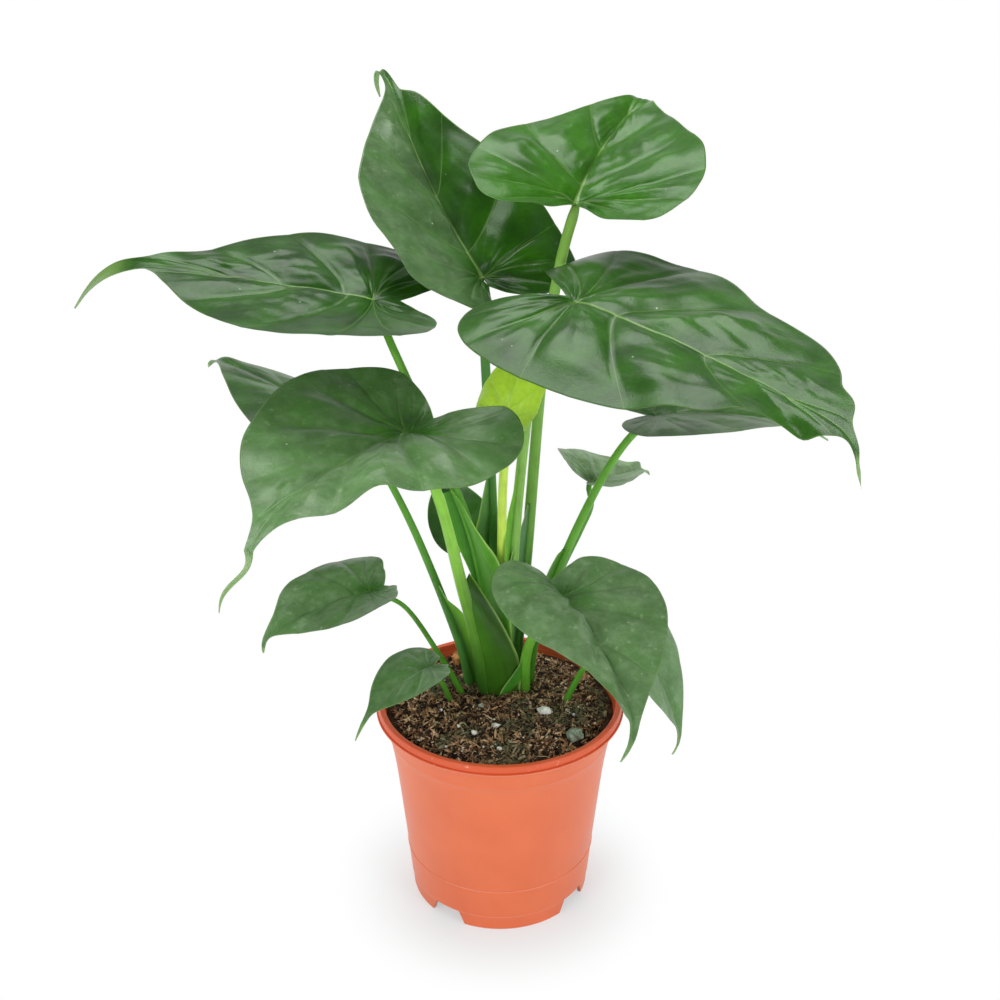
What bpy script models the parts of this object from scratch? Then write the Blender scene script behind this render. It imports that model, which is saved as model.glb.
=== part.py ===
"""Potted alocasia: heart-shaped leaves on tall stalks, growing from one corm in a round nursery pot.

All sizes are in millimetres and degrees. Places are measured from the pot's axis at the floor: x to
the right, y to the back, z up. The empty "plant" carries the whole model, so that the middle of the
plant's spread stands at the world's origin. The front is the side that most of the leaves lean to.
"""

import math

import bmesh
import bpy
from mathutils import Vector

MM = 0.001
GAP = 0.3  # clearance between pieces that touch
SEAT_GAP = 0.5  # between a stalk's head and the curved underside of its blade
POT_AXIS = Vector((19.1, 26.2, 0.0))  # where the pot's axis stands, from the middle of the spread

# --- pot ------------------------------------------------------------------------------------------
POT_HEIGHT = 149.0
POT_STEPS = 48  # facets round the pot and the soil
RIM_RADIUS = 85.0
LIP_RADIUS = 79.2  # inner edge of the lip
WALL = 1.6
FOOT_RADIUS = 62.6
FOOT_HEIGHT = 11.2  # up to the step where the foot meets the body
FLOOR_BOTTOM = 11.6
FLOOR = 2.0
BEAD_HEIGHT = 34.8  # the raised line low on the body
CENTRE_DRAIN = 6.0
# The body's outside above the foot, as (radius, height): a straight taper that flares near the rim.
BODY = [(63.9, 11.9), (65.8, BEAD_HEIGHT - 0.6), (66.3, BEAD_HEIGHT), (66.1, BEAD_HEIGHT + 0.8),
        (71.3, 90.0), (73.0, 105.0), (75.0, 117.0), (77.2, 129.0), (79.2, 139.8)]
NOTCHES = 4
NOTCH_TURN = -36.0  # first notch, from the front towards the right
NOTCH_WIDTH = 27.0
NOTCH_HEIGHT = 10.6
NOTCH_CUT = 14.0  # how far a notch's cutter reaches through the foot
DRAIN_RING = 46.0
DRAIN_RADIUS = 4.5
DRAIN_CUT = 8.0

# --- soil and corm --------------------------------------------------------------------------------
# The top of the potting mix, as (radius, height): a low mound that falls to the wall.
MOUND = [(0.0, 149.4), (20.0, 149.2), (35.0, 148.3), (48.0, 146.3), (60.0, 143.6), (70.0, 141.2)]
SOIL_EDGE = 139.8
CORM_PLACE = (0.0, 15.0)
CORM_TOP = 146.8
CORM = [(23.0, CORM_TOP), (25.0, 145.0), (25.0, 130.0), (19.0, 115.0), (9.0, 107.0)]
CORM_BOTTOM = 105.0
SOCKET_DEPTH = 5.0
SOCKET_ROOM = 1.2  # how much wider a socket in the soil is than its stalk
ABOVE_SOIL = 160.0  # a cutter that opens upwards ends at this height

# --- leaves ---------------------------------------------------------------------------------------
BLADE = 1.2  # thickness of a blade
# Half of a flat blade, from the tip back round the lobe to the notch beside the hub, as (share of
# the half width, share of the length). The hub is at 0, the tip at 1, and the lobes lie below 0.
HALF_BLADE = [(0.07, 0.90), (0.20, 0.79), (0.46, 0.63), (0.73, 0.44), (0.93, 0.25), (1.0, 0.06),
              (0.95, -0.11), (0.79, -0.23), (0.56, -0.285), (0.33, -0.25)]
TAIL_WAIST = 0.022  # half width of the drip tip, halfway along it
FAN_END = 0.1  # veins that reach the margin behind this share of the length all start at the hub
VEIN_LEAN = 1.6  # how far forward the others run
BLADE_ROWS = 15
HALF_COLUMNS = 3
MIDRIB_STEPS = 70
LOBE_REACH = 0.4  # the midrib's line is carried this share of the length behind the hub
TIP_START = 0.78  # share of the blade, short of its tail, where the tip begins to bend

collection = bpy.data.collections.new("potted_alocasia")
cutters = bpy.data.collections.new("cutters")


def clear_scene():
    for thing in list(bpy.data.objects):
        bpy.data.objects.remove(thing, do_unlink=True)
    bpy.context.scene.collection.children.link(collection)
    bpy.context.scene.collection.children.link(cutters)


def make_material(name, red, green, blue, roughness):
    material = bpy.data.materials.new(name)
    material.use_nodes = True
    shader = material.node_tree.nodes["Principled BSDF"]
    shader.inputs["Base Color"].default_value = (red, green, blue, 1.0)
    shader.inputs["Roughness"].default_value = roughness
    material.diffuse_color = (red, green, blue, 1.0)
    return material


def add_object(name, data, material=None, parent=None):
    thing = bpy.data.objects.new(name, data)
    if material:
        data.materials.append(material)
    collection.objects.link(thing)
    thing.parent = parent
    return thing


def make_cutter(thing):
    collection.objects.unlink(thing)
    cutters.objects.link(thing)
    thing.hide_render = True
    thing.display_type = "WIRE"


def cut(thing, cutter):
    make_cutter(cutter)
    modifier = thing.modifiers.new("cut_" + cutter.name, "BOOLEAN")
    modifier.operation = "DIFFERENCE"
    modifier.object = cutter
    modifier.solver = "EXACT"


def lathe(name, profile, material, parent, closed, place=(0.0, 0.0)):
    """Turns a profile of (radius, height) about the vertical through place. It runs down its outer side."""
    mesh = bpy.data.meshes.new(name)
    shape = bmesh.new()
    points = [shape.verts.new((radius * MM, 0.0, height * MM)) for radius, height in profile]
    for start, end in zip(points, points[1:]):
        shape.edges.new((start, end))
    if closed:
        shape.edges.new((points[-1], points[0]))
    shape.to_mesh(mesh)
    shape.free()
    thing = add_object(name, mesh, material, parent)
    thing.location = (place[0] * MM, place[1] * MM, 0.0)
    screw = thing.modifiers.new("turn", "SCREW")
    screw.axis = "Z"
    screw.angle = math.tau
    screw.steps = POT_STEPS
    screw.render_steps = POT_STEPS
    screw.use_merge_vertices = True
    screw.merge_threshold = 0.00001
    screw.use_normal_calculate = not closed
    return thing


def body_radius(height):
    """Outer radius of the pot's body at a height, between the foot's step and the rim."""
    for (low_radius, low), (high_radius, high) in zip(BODY, BODY[1:]):
        if height <= high:
            return low_radius + (high_radius - low_radius) * (height - low) / (high - low)
    return BODY[-1][0]


def make_pot(parent):
    """Injection-moulded nursery pot: thin wall, rolled rim with a groove, raised floor on a notched foot."""
    rim = [(LIP_RADIUS, POT_HEIGHT - 0.8), (LIP_RADIUS + 0.6, POT_HEIGHT), (82.2, POT_HEIGHT),
           (82.9, POT_HEIGHT - 0.6), (83.7, 144.5), (83.2, 143.9), (84.6, 143.5),
           (RIM_RADIUS, 142.5), (84.6, 141.6), (80.4, 141.2)]
    outside = list(reversed(BODY))
    foot = [(FOOT_RADIUS + 0.7, FOOT_HEIGHT), (FOOT_RADIUS, 0.0), (FOOT_RADIUS - 2.6, 0.0),
            (FOOT_RADIUS - 2.2, FLOOR_BOTTOM)]
    floor = [(CENTRE_DRAIN, FLOOR_BOTTOM), (CENTRE_DRAIN, FLOOR_BOTTOM + FLOOR)]
    heights = [FLOOR_BOTTOM + FLOOR, 90.0, 105.0, 117.0, 129.0, 139.0]
    inside = [(body_radius(height) - WALL, height) for height in heights]
    pot = lathe("grow_pot", rim + outside + foot + floor + inside, CLAY_PLASTIC, parent, closed=True)
    for number in range(NOTCHES):
        turn = math.radians(NOTCH_TURN + 360.0 / NOTCHES * number)
        outward = Vector((math.sin(turn), -math.cos(turn), 0.0))
        bpy.ops.mesh.primitive_cube_add(size=1.0)
        notch = adopt(f"notch_{number + 1}", parent)
        notch.scale = Vector((NOTCH_WIDTH, NOTCH_CUT, 2.0 * NOTCH_HEIGHT)) * MM
        notch.rotation_euler.z = turn
        notch.location = outward * FOOT_RADIUS * MM
        cut(pot, notch)
        bpy.ops.mesh.primitive_cylinder_add(vertices=12, radius=DRAIN_RADIUS * MM, depth=DRAIN_CUT * MM)
        drain = adopt(f"drain_{number + 1}", parent)
        drain.location = outward * DRAIN_RING * MM + Vector((0.0, 0.0, FLOOR_BOTTOM * MM))
        cut(pot, drain)
    return pot


def adopt(name, parent):
    """Names the primitive just added and takes it into this model."""
    thing = bpy.context.object
    thing.name = name
    for holder in list(thing.users_collection):
        holder.objects.unlink(thing)
    collection.objects.link(thing)
    thing.parent = parent
    return thing


def mound_height(radius):
    """Height of the soil's top at a distance from the pot's axis, and its downward slope there."""
    edge = (LIP_RADIUS - WALL, SOIL_EDGE)
    points = MOUND + [edge]
    for (near, high), (far, low) in zip(points, points[1:]):
        if radius <= far:
            slope = (high - low) / (far - near)
            return high - slope * (radius - near), slope
    return SOIL_EDGE, 0.0


def make_soil(parent):
    """Peat-based potting mix that fills the pot, with a pocket for the corm."""
    bottom = FLOOR_BOTTOM + FLOOR + GAP
    heights = (SOIL_EDGE, 129, 117, 105, 90, bottom)
    wall = [(body_radius(height) - WALL - GAP, height) for height in heights]
    soil = lathe("potting_mix", MOUND + wall + [(0.0, bottom)], SOIL, parent, closed=False)
    pocket = [(0.0, ABOVE_SOIL), (CORM[1][0] + GAP, ABOVE_SOIL)]
    pocket += [(radius + GAP, height - GAP) for radius, height in CORM[2:]] + [(0.0, CORM_BOTTOM - GAP)]
    cut(soil, lathe("corm_pocket", pocket, None, parent, closed=False, place=CORM_PLACE))
    return soil


def make_corm(parent):
    """The short, thick underground stem that all the middle stalks grow from. Its flat top is their seat."""
    profile = [(0.0, CORM_TOP)] + CORM + [(0.0, CORM_BOTTOM)]
    return lathe("corm", profile, CORM_SKIN, parent, closed=False, place=CORM_PLACE)


def smooth_path(points, count):
    """A Catmull-Rom curve through the points, as count points. A point may have any number of parts."""
    ends = [[2 * a - b for a, b in zip(points[0], points[1])]]
    tail = [[2 * a - b for a, b in zip(points[-1], points[-2])]]
    held = ends + [list(point) for point in points] + tail
    spans = len(points) - 1
    path = []
    for number in range(count):
        place = spans * number / (count - 1)
        span = min(int(place), spans - 1)
        u = place - span
        before, start, end, after = held[span:span + 4]
        path.append([
            b + 0.5 * u * (c - a + (2 * a - 5 * b + 4 * c - d) * u + (3 * b - a - 3 * c + d) * u * u)
            for a, b, c, d in zip(before, start, end, after)
        ])
    return path


def ease(low, high, value):
    share = min(max((value - low) / (high - low), 0.0), 1.0)
    return share * share * (3.0 - 2.0 * share)


class Blade:
    """One leaf blade: a flat heart that is bent along its midrib and cupped across it.

    hub          where the stalk meets the blade
    heading      direction of the tip over the ground, from +x towards +y; pitch is its rise
    roll         turn about the midrib, the right side down; twist is added towards the tip
    droop, sweep how far the midrib bends down and to the left over its length
    tip_droop, tip_sweep   the same, over the last stretch alone
    fold, curl   for the left and the right half: its rise at the midrib, and how it bows back down
    lobe         bend of the lobes behind the hub; back is their length, and tail is the drip tip's
    web          how far behind the hub the lobes are joined, as a share of the length
    sides        width of the left and the right half, against half_width
    """

    def __init__(self, hub, heading, pitch, length, half_width, roll=0, droop=0, tip_droop=0, sweep=0,
                 tip_sweep=0, twist=0, fold=(0, 0), curl=(0, 0), lobe=0, tail=0.08, sides=(1, 1),
                 back=1.0, web=0.05):
        self.hub = Vector(hub)
        self.length = length
        self.half_width = half_width
        self.fold = fold
        self.curl = curl
        self.tail = tail
        self.sides = sides
        self.back = back
        self.web = web
        self.stations = []
        self.first = -int(LOBE_REACH * MIDRIB_STEPS)
        place = Vector((0.0, 0.0, 0.0))
        for number in range(self.first, MIDRIB_STEPS + 1):
            share = number / MIDRIB_STEPS
            ahead = max(share, 0.0)
            end = ease(TIP_START * (1.0 - tail), 1.0, ahead)
            rise = pitch - droop * ahead - tip_droop * end + lobe * max(-share, 0.0) / 0.3
            turn = heading + sweep * ahead + tip_sweep * end
            frame = self.frame(math.radians(turn), math.radians(rise), math.radians(roll + twist * share))
            place = place + frame[0] * (length / MIDRIB_STEPS)
            self.stations.append((place, *frame))
        shift = self.stations[-self.first][0].copy()
        self.stations = [(place - shift, *frame) for place, *frame in self.stations]

    @staticmethod
    def frame(turn, rise, roll):
        """Unit vectors along the midrib, to its right and out of the upper face."""
        along = Vector((math.cos(turn) * math.cos(rise), math.sin(turn) * math.cos(rise), math.sin(rise)))
        level = Vector((math.sin(turn), -math.cos(turn), 0.0))
        up = level.cross(along)
        right = level * math.cos(roll) - up * math.sin(roll)
        return along, right, up * math.cos(roll) + level * math.sin(roll)

    def station(self, share):
        place = min(max(share * MIDRIB_STEPS - self.first, 0.0), len(self.stations) - 1.0)
        low = min(int(place), len(self.stations) - 2)
        mix = place - low
        return [a.lerp(b, mix) for a, b in zip(self.stations[low], self.stations[low + 1])]

    def point(self, across, along):
        """The place of a point of the flat blade: across to the right and along from the hub."""
        centre, _, right, up = self.station(along / self.length)
        half = 1 if across >= 0 else 0
        fold = math.radians(self.fold[half])
        bow = math.radians(self.curl[half]) / self.half_width or 1e-6
        reach = abs(across)
        sideways = (math.sin(fold) - math.sin(fold - bow * reach)) / bow
        rise = (math.cos(fold - bow * reach) - math.cos(fold)) / bow
        return self.hub + centre + right * math.copysign(sideways, across) + up * rise

    def margin(self, half):
        """Points of one half's margin on the flat blade, from the notch beside the hub to the tip."""
        tip = [(0.0, 1.0), (TAIL_WAIST, 1 - 0.5 * self.tail)]
        body = [(x, y * (1 - self.tail) if y > 0 else y * self.back) for x, y in HALF_BLADE]
        notch = [(0.14, 0.5 * (body[-1][1] - self.web)), (0.0, -self.web)]
        outline = smooth_path(tip + body + notch, BLADE_ROWS)
        side = self.half_width * self.sides[half] * (1 if half else -1)
        return [(max(x, 0.0) * side, y * self.length) for x, y in reversed(outline)]

    def seat(self, stalk_radius, arriving):
        """Where a stalk's end stops under the hub, so that its rim just clears the blade."""
        _, _, _, up = self.station(0.0)
        slant = math.sqrt(max(1.0 - arriving.dot(up) ** 2, 0.0))
        return self.hub - up * (BLADE / 2 + SEAT_GAP + stalk_radius * slant)


def make_blade(name, blade, material, parent):
    """A grid laid over the heart: its rows follow the veins from the midrib out to the margin."""
    margins = [blade.margin(0), blade.margin(1)]
    shape = bmesh.new()
    bmesh.ops.create_grid(shape, x_segments=2 * HALF_COLUMNS, y_segments=BLADE_ROWS - 1, size=1.0)
    for vert in shape.verts:
        share = vert.co.x
        row = round((vert.co.y + 1.0) / 2.0 * (BLADE_ROWS - 1))
        across, along = margins[1 if share >= 0 else 0][row]
        reach = max((along / blade.length - FAN_END) / (1.0 - FAN_END), 0.0)
        root = blade.length * reach ** VEIN_LEAN
        vert.co = blade.point(across * abs(share), root + (along - root) * abs(share)) * MM
    bmesh.ops.remove_doubles(shape, verts=shape.verts, dist=0.01 * MM)
    bmesh.ops.recalc_face_normals(shape, faces=shape.faces)
    mesh = bpy.data.meshes.new(name)
    shape.to_mesh(mesh)
    shape.free()
    thing = add_object(name, mesh, material, parent)
    skin = thing.modifiers.new("thickness", "SOLIDIFY")
    skin.thickness = BLADE * MM
    skin.offset = 0.0
    skin.use_even_offset = False
    mesh.shade_smooth()
    return thing


def make_stalk(name, route, foot_radius, head_radius, material, parent, blade, count=9):
    """A leaf stalk: a tapered round tube along a smooth curve, ending under its blade's hub."""
    route = [Vector(point) for point in route]
    leaving = (route[1] - route[0]).normalized()
    route[0].z += foot_radius * math.hypot(leaving.x, leaving.y)
    arriving = (blade.hub - route[-1]).normalized()
    route.append(blade.seat(head_radius, arriving))
    path = smooth_path(route, count)
    curve = bpy.data.curves.new(name, "CURVE")
    curve.dimensions = "3D"
    curve.bevel_depth = foot_radius * MM
    curve.bevel_resolution = 2
    curve.use_fill_caps = True
    spline = curve.splines.new("POLY")
    spline.points.add(count - 1)
    for number, place in enumerate(path):
        share = number / (count - 1)
        spline.points[number].co = (*(Vector(place) * MM), 1.0)
        taper = (1.0 - share) ** 1.5
        spline.points[number].radius = (head_radius + (foot_radius - head_radius) * taper) / foot_radius
    return add_object(name, curve, material, parent)


def make_socket(soil, name, place, radius, parent):
    """A round hole in the soil, open at the top, for the foot of a stalk that stands clear of the corm."""
    bottom = mound_height(math.hypot(*place))[0] - SOCKET_DEPTH - GAP
    depth = ABOVE_SOIL - bottom
    bpy.ops.mesh.primitive_cylinder_add(vertices=12, radius=(radius + SOCKET_ROOM) * MM, depth=depth * MM)
    socket = adopt(name, parent)
    socket.location = Vector((place[0], place[1], bottom + depth / 2)) * MM
    cut(soil, socket)


def make_crumb(name, place, size, material, parent):
    """A pebble or a grain of perlite that lies on the soil."""
    height, slope = mound_height(math.hypot(*place))
    lift = (size[2] + GAP) * math.hypot(1.0, slope)
    bpy.ops.mesh.primitive_ico_sphere_add(subdivisions=2, radius=1.0)
    crumb = adopt(name, parent)
    crumb.scale = Vector(size) * MM
    crumb.location = Vector((place[0], place[1], height + lift)) * MM
    crumb.data.materials.append(material)
    crumb.data.shade_smooth()


CLAY_PLASTIC = make_material("clay_plastic", 0.84, 0.23, 0.09, 0.45)
SOIL = make_material("potting_soil", 0.045, 0.028, 0.018, 0.95)
CORM_SKIN = make_material("corm_skin", 0.20, 0.11, 0.05, 0.85)
LEAF = make_material("leaf_green", 0.035, 0.14, 0.025, 0.35)
YOUNG_LEAF = make_material("young_leaf", 0.36, 0.58, 0.04, 0.4)
STALK = make_material("stalk_green", 0.12, 0.33, 0.03, 0.4)
PERLITE = make_material("perlite", 0.72, 0.70, 0.64, 0.9)
CLAY_PEBBLE = make_material("clay_pebble", 0.55, 0.27, 0.07, 0.8)
GREY_PEBBLE = make_material("grey_pebble", 0.26, 0.30, 0.24, 0.8)

# The leaves from the top down. Left and right, front and rear are as seen from the front.
BLADES = {
    "top_left": Blade(hub=(-11, 53, 429), heading=131, pitch=39, roll=-7, length=194, half_width=75,
                      droop=-6, tip_droop=43, sweep=-25, tip_sweep=10, twist=-4, fold=(29, 32),
                      curl=(2, 51), lobe=-30, tail=0.05, sides=(1.10, 0.90), back=0.75, web=0.04),
    "top_right": Blade(hub=(46, 28, 482), heading=77, pitch=18, roll=9, length=175, half_width=73,
                       tip_droop=41, sweep=-22, tip_sweep=34, twist=-5, fold=(23, 21), curl=(24, -2),
                       lobe=-14, tail=0.06, sides=(0.96, 1.07), back=0.75, web=0.01),
    "left": Blade(hub=(-75, -10, 433), heading=178, pitch=7, roll=-16, length=192, half_width=76,
                  droop=-3, tip_droop=61, sweep=-10, twist=-18, fold=(4, 3), curl=(-23, 19), lobe=-8,
                  tail=0.22, sides=(1.12, 0.97), back=0.80, web=0.08),
    "right": Blade(hub=(43, -45, 442), heading=-40, pitch=-8, roll=4, length=237, half_width=80,
                   tip_droop=3, sweep=-20, tip_sweep=-51, twist=7, fold=(2, -6), curl=(4, 15),
                   lobe=25, tail=0.12, sides=(1.11, 0.93), back=0.75, web=0.03),
    "mid_left": Blade(hub=(-52, -70, 371), heading=230, pitch=3, roll=5, length=191, half_width=76,
                      droop=12, tip_droop=13, sweep=30, tip_sweep=-7, twist=-4, fold=(4, 11),
                      curl=(28, -19), lobe=-49, tail=0.18, sides=(0.94, 1.01), back=0.86, web=0.12),
    "rear_left": Blade(hub=(-102, 40, 333), heading=145, pitch=17, roll=11, length=144, half_width=60,
                       droop=15, tip_droop=37, sweep=-4, tip_sweep=-21, fold=(7, 6), curl=(29, 37),
                       lobe=-5, tail=0.05),
    "rear_right": Blade(hub=(100, 20, 348), heading=7, pitch=3, length=121, half_width=51, droop=25,
                        tip_droop=11, fold=(10, 10), curl=(22, 16), lobe=-10, back=0.93),
    "small_rear_right": Blade(hub=(62, 50, 289), heading=47, pitch=-8, roll=18, length=74,
                              half_width=32, droop=5, tip_droop=25, tip_sweep=20, twist=-20,
                              fold=(26, 23), curl=(34, -17), lobe=-28, sides=(1.07, 0.96)),
    "small_rear_centre": Blade(hub=(-27, 62, 241), heading=111, pitch=44, roll=10, length=65,
                               half_width=28, droop=21, tip_droop=18, sweep=-6, twist=-8,
                               fold=(25, 23), curl=(15, 9), lobe=-15),
    "front_right": Blade(hub=(39, -50, 254), heading=299, pitch=-10, roll=-23, length=134,
                         half_width=55, droop=18, tip_droop=-10, sweep=-18, tip_sweep=-45, twist=12,
                         fold=(22, 26), curl=(-4, 81), lobe=-13, tail=0.12, sides=(1.08, 0.96),
                         back=0.76, web=0.12),
    "low_right": Blade(hub=(92, -20, 205), heading=326, pitch=-54, roll=-8, length=88, half_width=37,
                       droop=19, tip_droop=42, fold=(17, 18), curl=(24, 22), lobe=-5, tail=0.12),
    "small_left": Blade(hub=(-83, -30, 247), heading=203, pitch=-5, roll=-7, length=83, half_width=39,
                        droop=20, tip_droop=60, twist=-25, fold=(14, 16), curl=(-16, 38), lobe=-30,
                        tail=0.06, sides=(1.07, 1.07), back=0.83, web=0.12),
    "low_left": Blade(hub=(-45, -50, 203), heading=204, pitch=-10, roll=8, length=63, half_width=30,
                      droop=42, tip_droop=6, sweep=25, twist=-20, fold=(2, 1), curl=(-7, 0), lobe=13,
                      tail=0.16, sides=(0.95, 1.10), back=0.75),
    "young": Blade(hub=(3, -26, 364), heading=52, pitch=58, length=58, half_width=27, droop=8,
                   tip_droop=5, sweep=8, twist=12, fold=(9, 16), curl=(40, -10), lobe=-5, tail=0.06,
                   sides=(1.00, 1.06), back=0.8),
}

# Each leaf's stalk: its foot's and its head's radius, and its route from its foot to just short of
# the hub. The middle ones stand on the corm, and the outer three in the soil.
ON_CORM = CORM_TOP + GAP
STALKS = {
    "top_left": (4.0, 2.9, [(-6, 27, ON_CORM), (-5, 28, 180), (-4, 31, 230), (-6, 36, 300), (-10, 45, 384)]),
    "top_right": (4.2, 3.2, [(9, 19, ON_CORM), (13, 20, 192), (18, 23, 248), (27, 30, 373), (37, 32, 441)]),
    "left": (4.5, 2.4, [(-8, 15.5, ON_CORM), (-9, 14, 190), (-18, 11, 264), (-44, 6, 341), (-66, 0, 400)]),
    "right": (4.0, 2.9, [(2, 12, ON_CORM), (6, 8, 200), (11, 5, 287), (18, 5, 360), (25, 2, 402),
                         (35, -24, 432)]),
    "mid_left": (5.0, 2.9, [(-9, 4, ON_CORM), (-15, -8, 196), (-24, -25, 246), (-37, -50, 321)]),
    "rear_left": (3.3, 2.2, [(-19, 9, ON_CORM), (-29, 14, 187), (-59, 27, 266), (-86, 36, 317)]),
    "rear_right": (3.6, 2.4, [(19.5, 16, ON_CORM), (24, 16, 185), (42, 17, 245), (66, 18, 303),
                              (85, 19, 334)]),
    "small_rear_right": (2.8, 1.8, [(12, 29, ON_CORM), (25, 35, 174), (39, 40, 220), (53, 44, 254)]),
    "small_rear_centre": (2.5, 1.8, [(1, 31, ON_CORM), (-6, 41, 180), (-20, 55, 222)]),
    "front_right": (4.4, 2.2, [(16, 6, ON_CORM), (18, -10, 190), (28, -34, 230)]),
    "low_right": (2.2, 1.7, [(38, -3, 0), (41, -5, 156), (56, -11, 181), (78, -17, 202)]),
    "small_left": (2.2, 1.5, [(-26, 2, 0), (-28, 1, 158), (-40, -6, 184), (-62, -20, 230)]),
    "low_left": (2.0, 1.5, [(-33, -4, 0), (-34, -5, 156), (-38, -22, 172), (-43, -42, 194)]),
    "young": (3.4, 2.6, [(0, 21, ON_CORM), (0, 15, 200), (1, 4, 260), (2, -11, 315)]),
}
IN_SOIL = ("low_right", "small_left", "low_left")

PERLITE_GRAINS = [((30, -21), (4.6, 3.4, 2.6)), ((-12, -16), (2.8, 2.2, 1.8)), ((-17, -43), (2.0, 1.8, 1.5)),
                  ((-3, -37), (2.6, 2.0, 1.6)), ((0, -58), (2.2, 1.6, 1.4))]


def main():
    clear_scene()
    plant = add_object("plant", None)
    plant.location = POT_AXIS * MM
    make_pot(plant)
    soil = make_soil(plant)
    make_corm(plant)
    for name, blade in BLADES.items():
        blade_green, stalk_green = (YOUNG_LEAF, YOUNG_LEAF) if name == "young" else (LEAF, STALK)
        make_blade("leaf_" + name, blade, blade_green, plant)
        foot_radius, head_radius, route = STALKS[name]
        if name in IN_SOIL:
            x, y, _ = route[0]
            route[0] = (x, y, mound_height(math.hypot(x, y))[0] - SOCKET_DEPTH)
            make_socket(soil, "socket_" + name, (x, y), foot_radius, plant)
        make_stalk("stalk_" + name, route, foot_radius, head_radius, stalk_green, plant, blade)
    make_crumb("pebble_clay", (-30, 51), (5.0, 4.4, 4.6), CLAY_PEBBLE, plant)
    make_crumb("pebble_grey", (49, -44), (5.6, 5.0, 4.4), GREY_PEBBLE, plant)
    for number, (place, size) in enumerate(PERLITE_GRAINS, start=1):
        make_crumb(f"perlite_{number}", place, size, PERLITE, plant)


main()
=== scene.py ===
"""Potted alocasia: a young houseplant with heart-shaped leaves, in its clay-coloured nursery pot.

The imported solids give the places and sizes. This script dresses them: a moulded pot with a rolled
rim, crumbly potting mix, stalks that widen into sheaths, and veined blades. The sections follow
the plant from the pot up, and the room with its lamps and camera comes last. Sizes are in
millimetres and are turned to metres where a mesh is made.
"""

import math
import random
from dataclasses import dataclass
from functools import cache

import bmesh
import bpy
from mathutils import Matrix, Vector, noise


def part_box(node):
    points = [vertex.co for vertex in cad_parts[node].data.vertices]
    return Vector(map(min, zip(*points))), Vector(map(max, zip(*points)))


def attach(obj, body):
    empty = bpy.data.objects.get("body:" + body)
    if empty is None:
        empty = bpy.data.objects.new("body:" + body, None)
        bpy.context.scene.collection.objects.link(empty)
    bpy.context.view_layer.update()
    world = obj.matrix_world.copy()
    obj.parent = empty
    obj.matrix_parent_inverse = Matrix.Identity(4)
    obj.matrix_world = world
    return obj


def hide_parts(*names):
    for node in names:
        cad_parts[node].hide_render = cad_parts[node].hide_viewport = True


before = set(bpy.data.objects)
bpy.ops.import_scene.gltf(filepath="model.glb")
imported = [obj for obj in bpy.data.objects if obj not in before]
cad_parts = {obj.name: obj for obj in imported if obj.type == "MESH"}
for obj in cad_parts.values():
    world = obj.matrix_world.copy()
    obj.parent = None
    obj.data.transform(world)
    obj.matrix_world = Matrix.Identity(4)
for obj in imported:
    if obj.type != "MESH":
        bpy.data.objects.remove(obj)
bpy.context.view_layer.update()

# --- Nursery pot ----------------------------------------------------------------------------------
# One injection moulding of clay-coloured polypropylene: a thin tapered wall, stiffened by a rolled
# rim, on a notched foot that lets water out. The mould was lightly blasted, so the outside is matt
# with a soft sheen, and a witness line runs round it where the mould's base ring ends.

MM = 0.001
POT_LOW, POT_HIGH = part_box("grow_pot")
POT_AXIS = Vector(((POT_LOW.x + POT_HIGH.x) / 2, (POT_LOW.y + POT_HIGH.y) / 2, 0.0))
POT_HEIGHT = POT_HIGH.z / MM
RIM_RADIUS = (POT_HIGH.x - POT_LOW.x) / 2 / MM
LIP_RADIUS = RIM_RADIUS - 5.8
POT_STEPS = 200
FOOT_RADIUS = 62.6
FLOOR_UNDER = 11.6
FLOOR_OVER = 13.6
NOTCH_TURN = -35.6
NOTCH_SIZE = (27.6, 14.0, 21.2)
NOTCH_ROUNDING = 1.2
NOTCH_FLARE = 0.3  # each notch is narrower at its top and wider at the floor by this share
DRAIN_RING = 46.0
DRAIN_RADIUS = 4.5
RIDGE_HIGHLIGHTS = (11.4, 34.9, 143.6)  # heights of the ridges that get a painted highlight: a pale line along each top
COLOUR = {"data_type": "RGBA"}  # makes a Mix node one of colours
SMOOTH = {"interpolation_type": "SMOOTHSTEP"}  # makes a Map Range node ease in and out


def linear(code):
    """The linear values of a colour that is written as sRGB hex."""
    values = [int(code[place:place + 2], 16) / 255 for place in (1, 3, 5)]
    return (*[v / 12.92 if v <= 0.04045 else ((v + 0.055) / 1.055) ** 2.4 for v in values], 1.0)


def new_material(name):
    material = bpy.data.materials.new(name)
    material.use_nodes = True
    return material, material.node_tree, material.node_tree.nodes["Principled BSDF"]


def fill(socket, value):
    """Gives a socket its value. A node's output is linked, and a hex code is a colour."""
    if isinstance(value, bpy.types.NodeSocket):
        socket.id_data.links.new(value, socket)
    else:
        socket.default_value = linear(value) if isinstance(value, str) else value


def feed(node, **given):
    """Fills a node's sockets by their names, in which _ stands for a space."""
    for name, value in given.items():
        fill(node.inputs[name.replace("_", " ")], value)


def add(tree, kind, *values, out=None, **given):
    """Adds a shader node, and returns the output named by out or else the first one in use.

    The values fill its sockets in use, in their order. Of the names in given, one with a capital
    letter is a socket's, and any other is a setting's.
    """
    node = tree.nodes.new("ShaderNode" + kind)
    for name, value in given.items():
        if name[0].islower():
            setattr(node, name, value)
    feed(node, **{name: value for name, value in given.items() if name[0].isupper()})
    for socket, value in zip([socket for socket in node.inputs if socket.enabled], values):
        fill(socket, value)
    return node.outputs[out] if out else next(socket for socket in node.outputs if socket.enabled)


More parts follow.
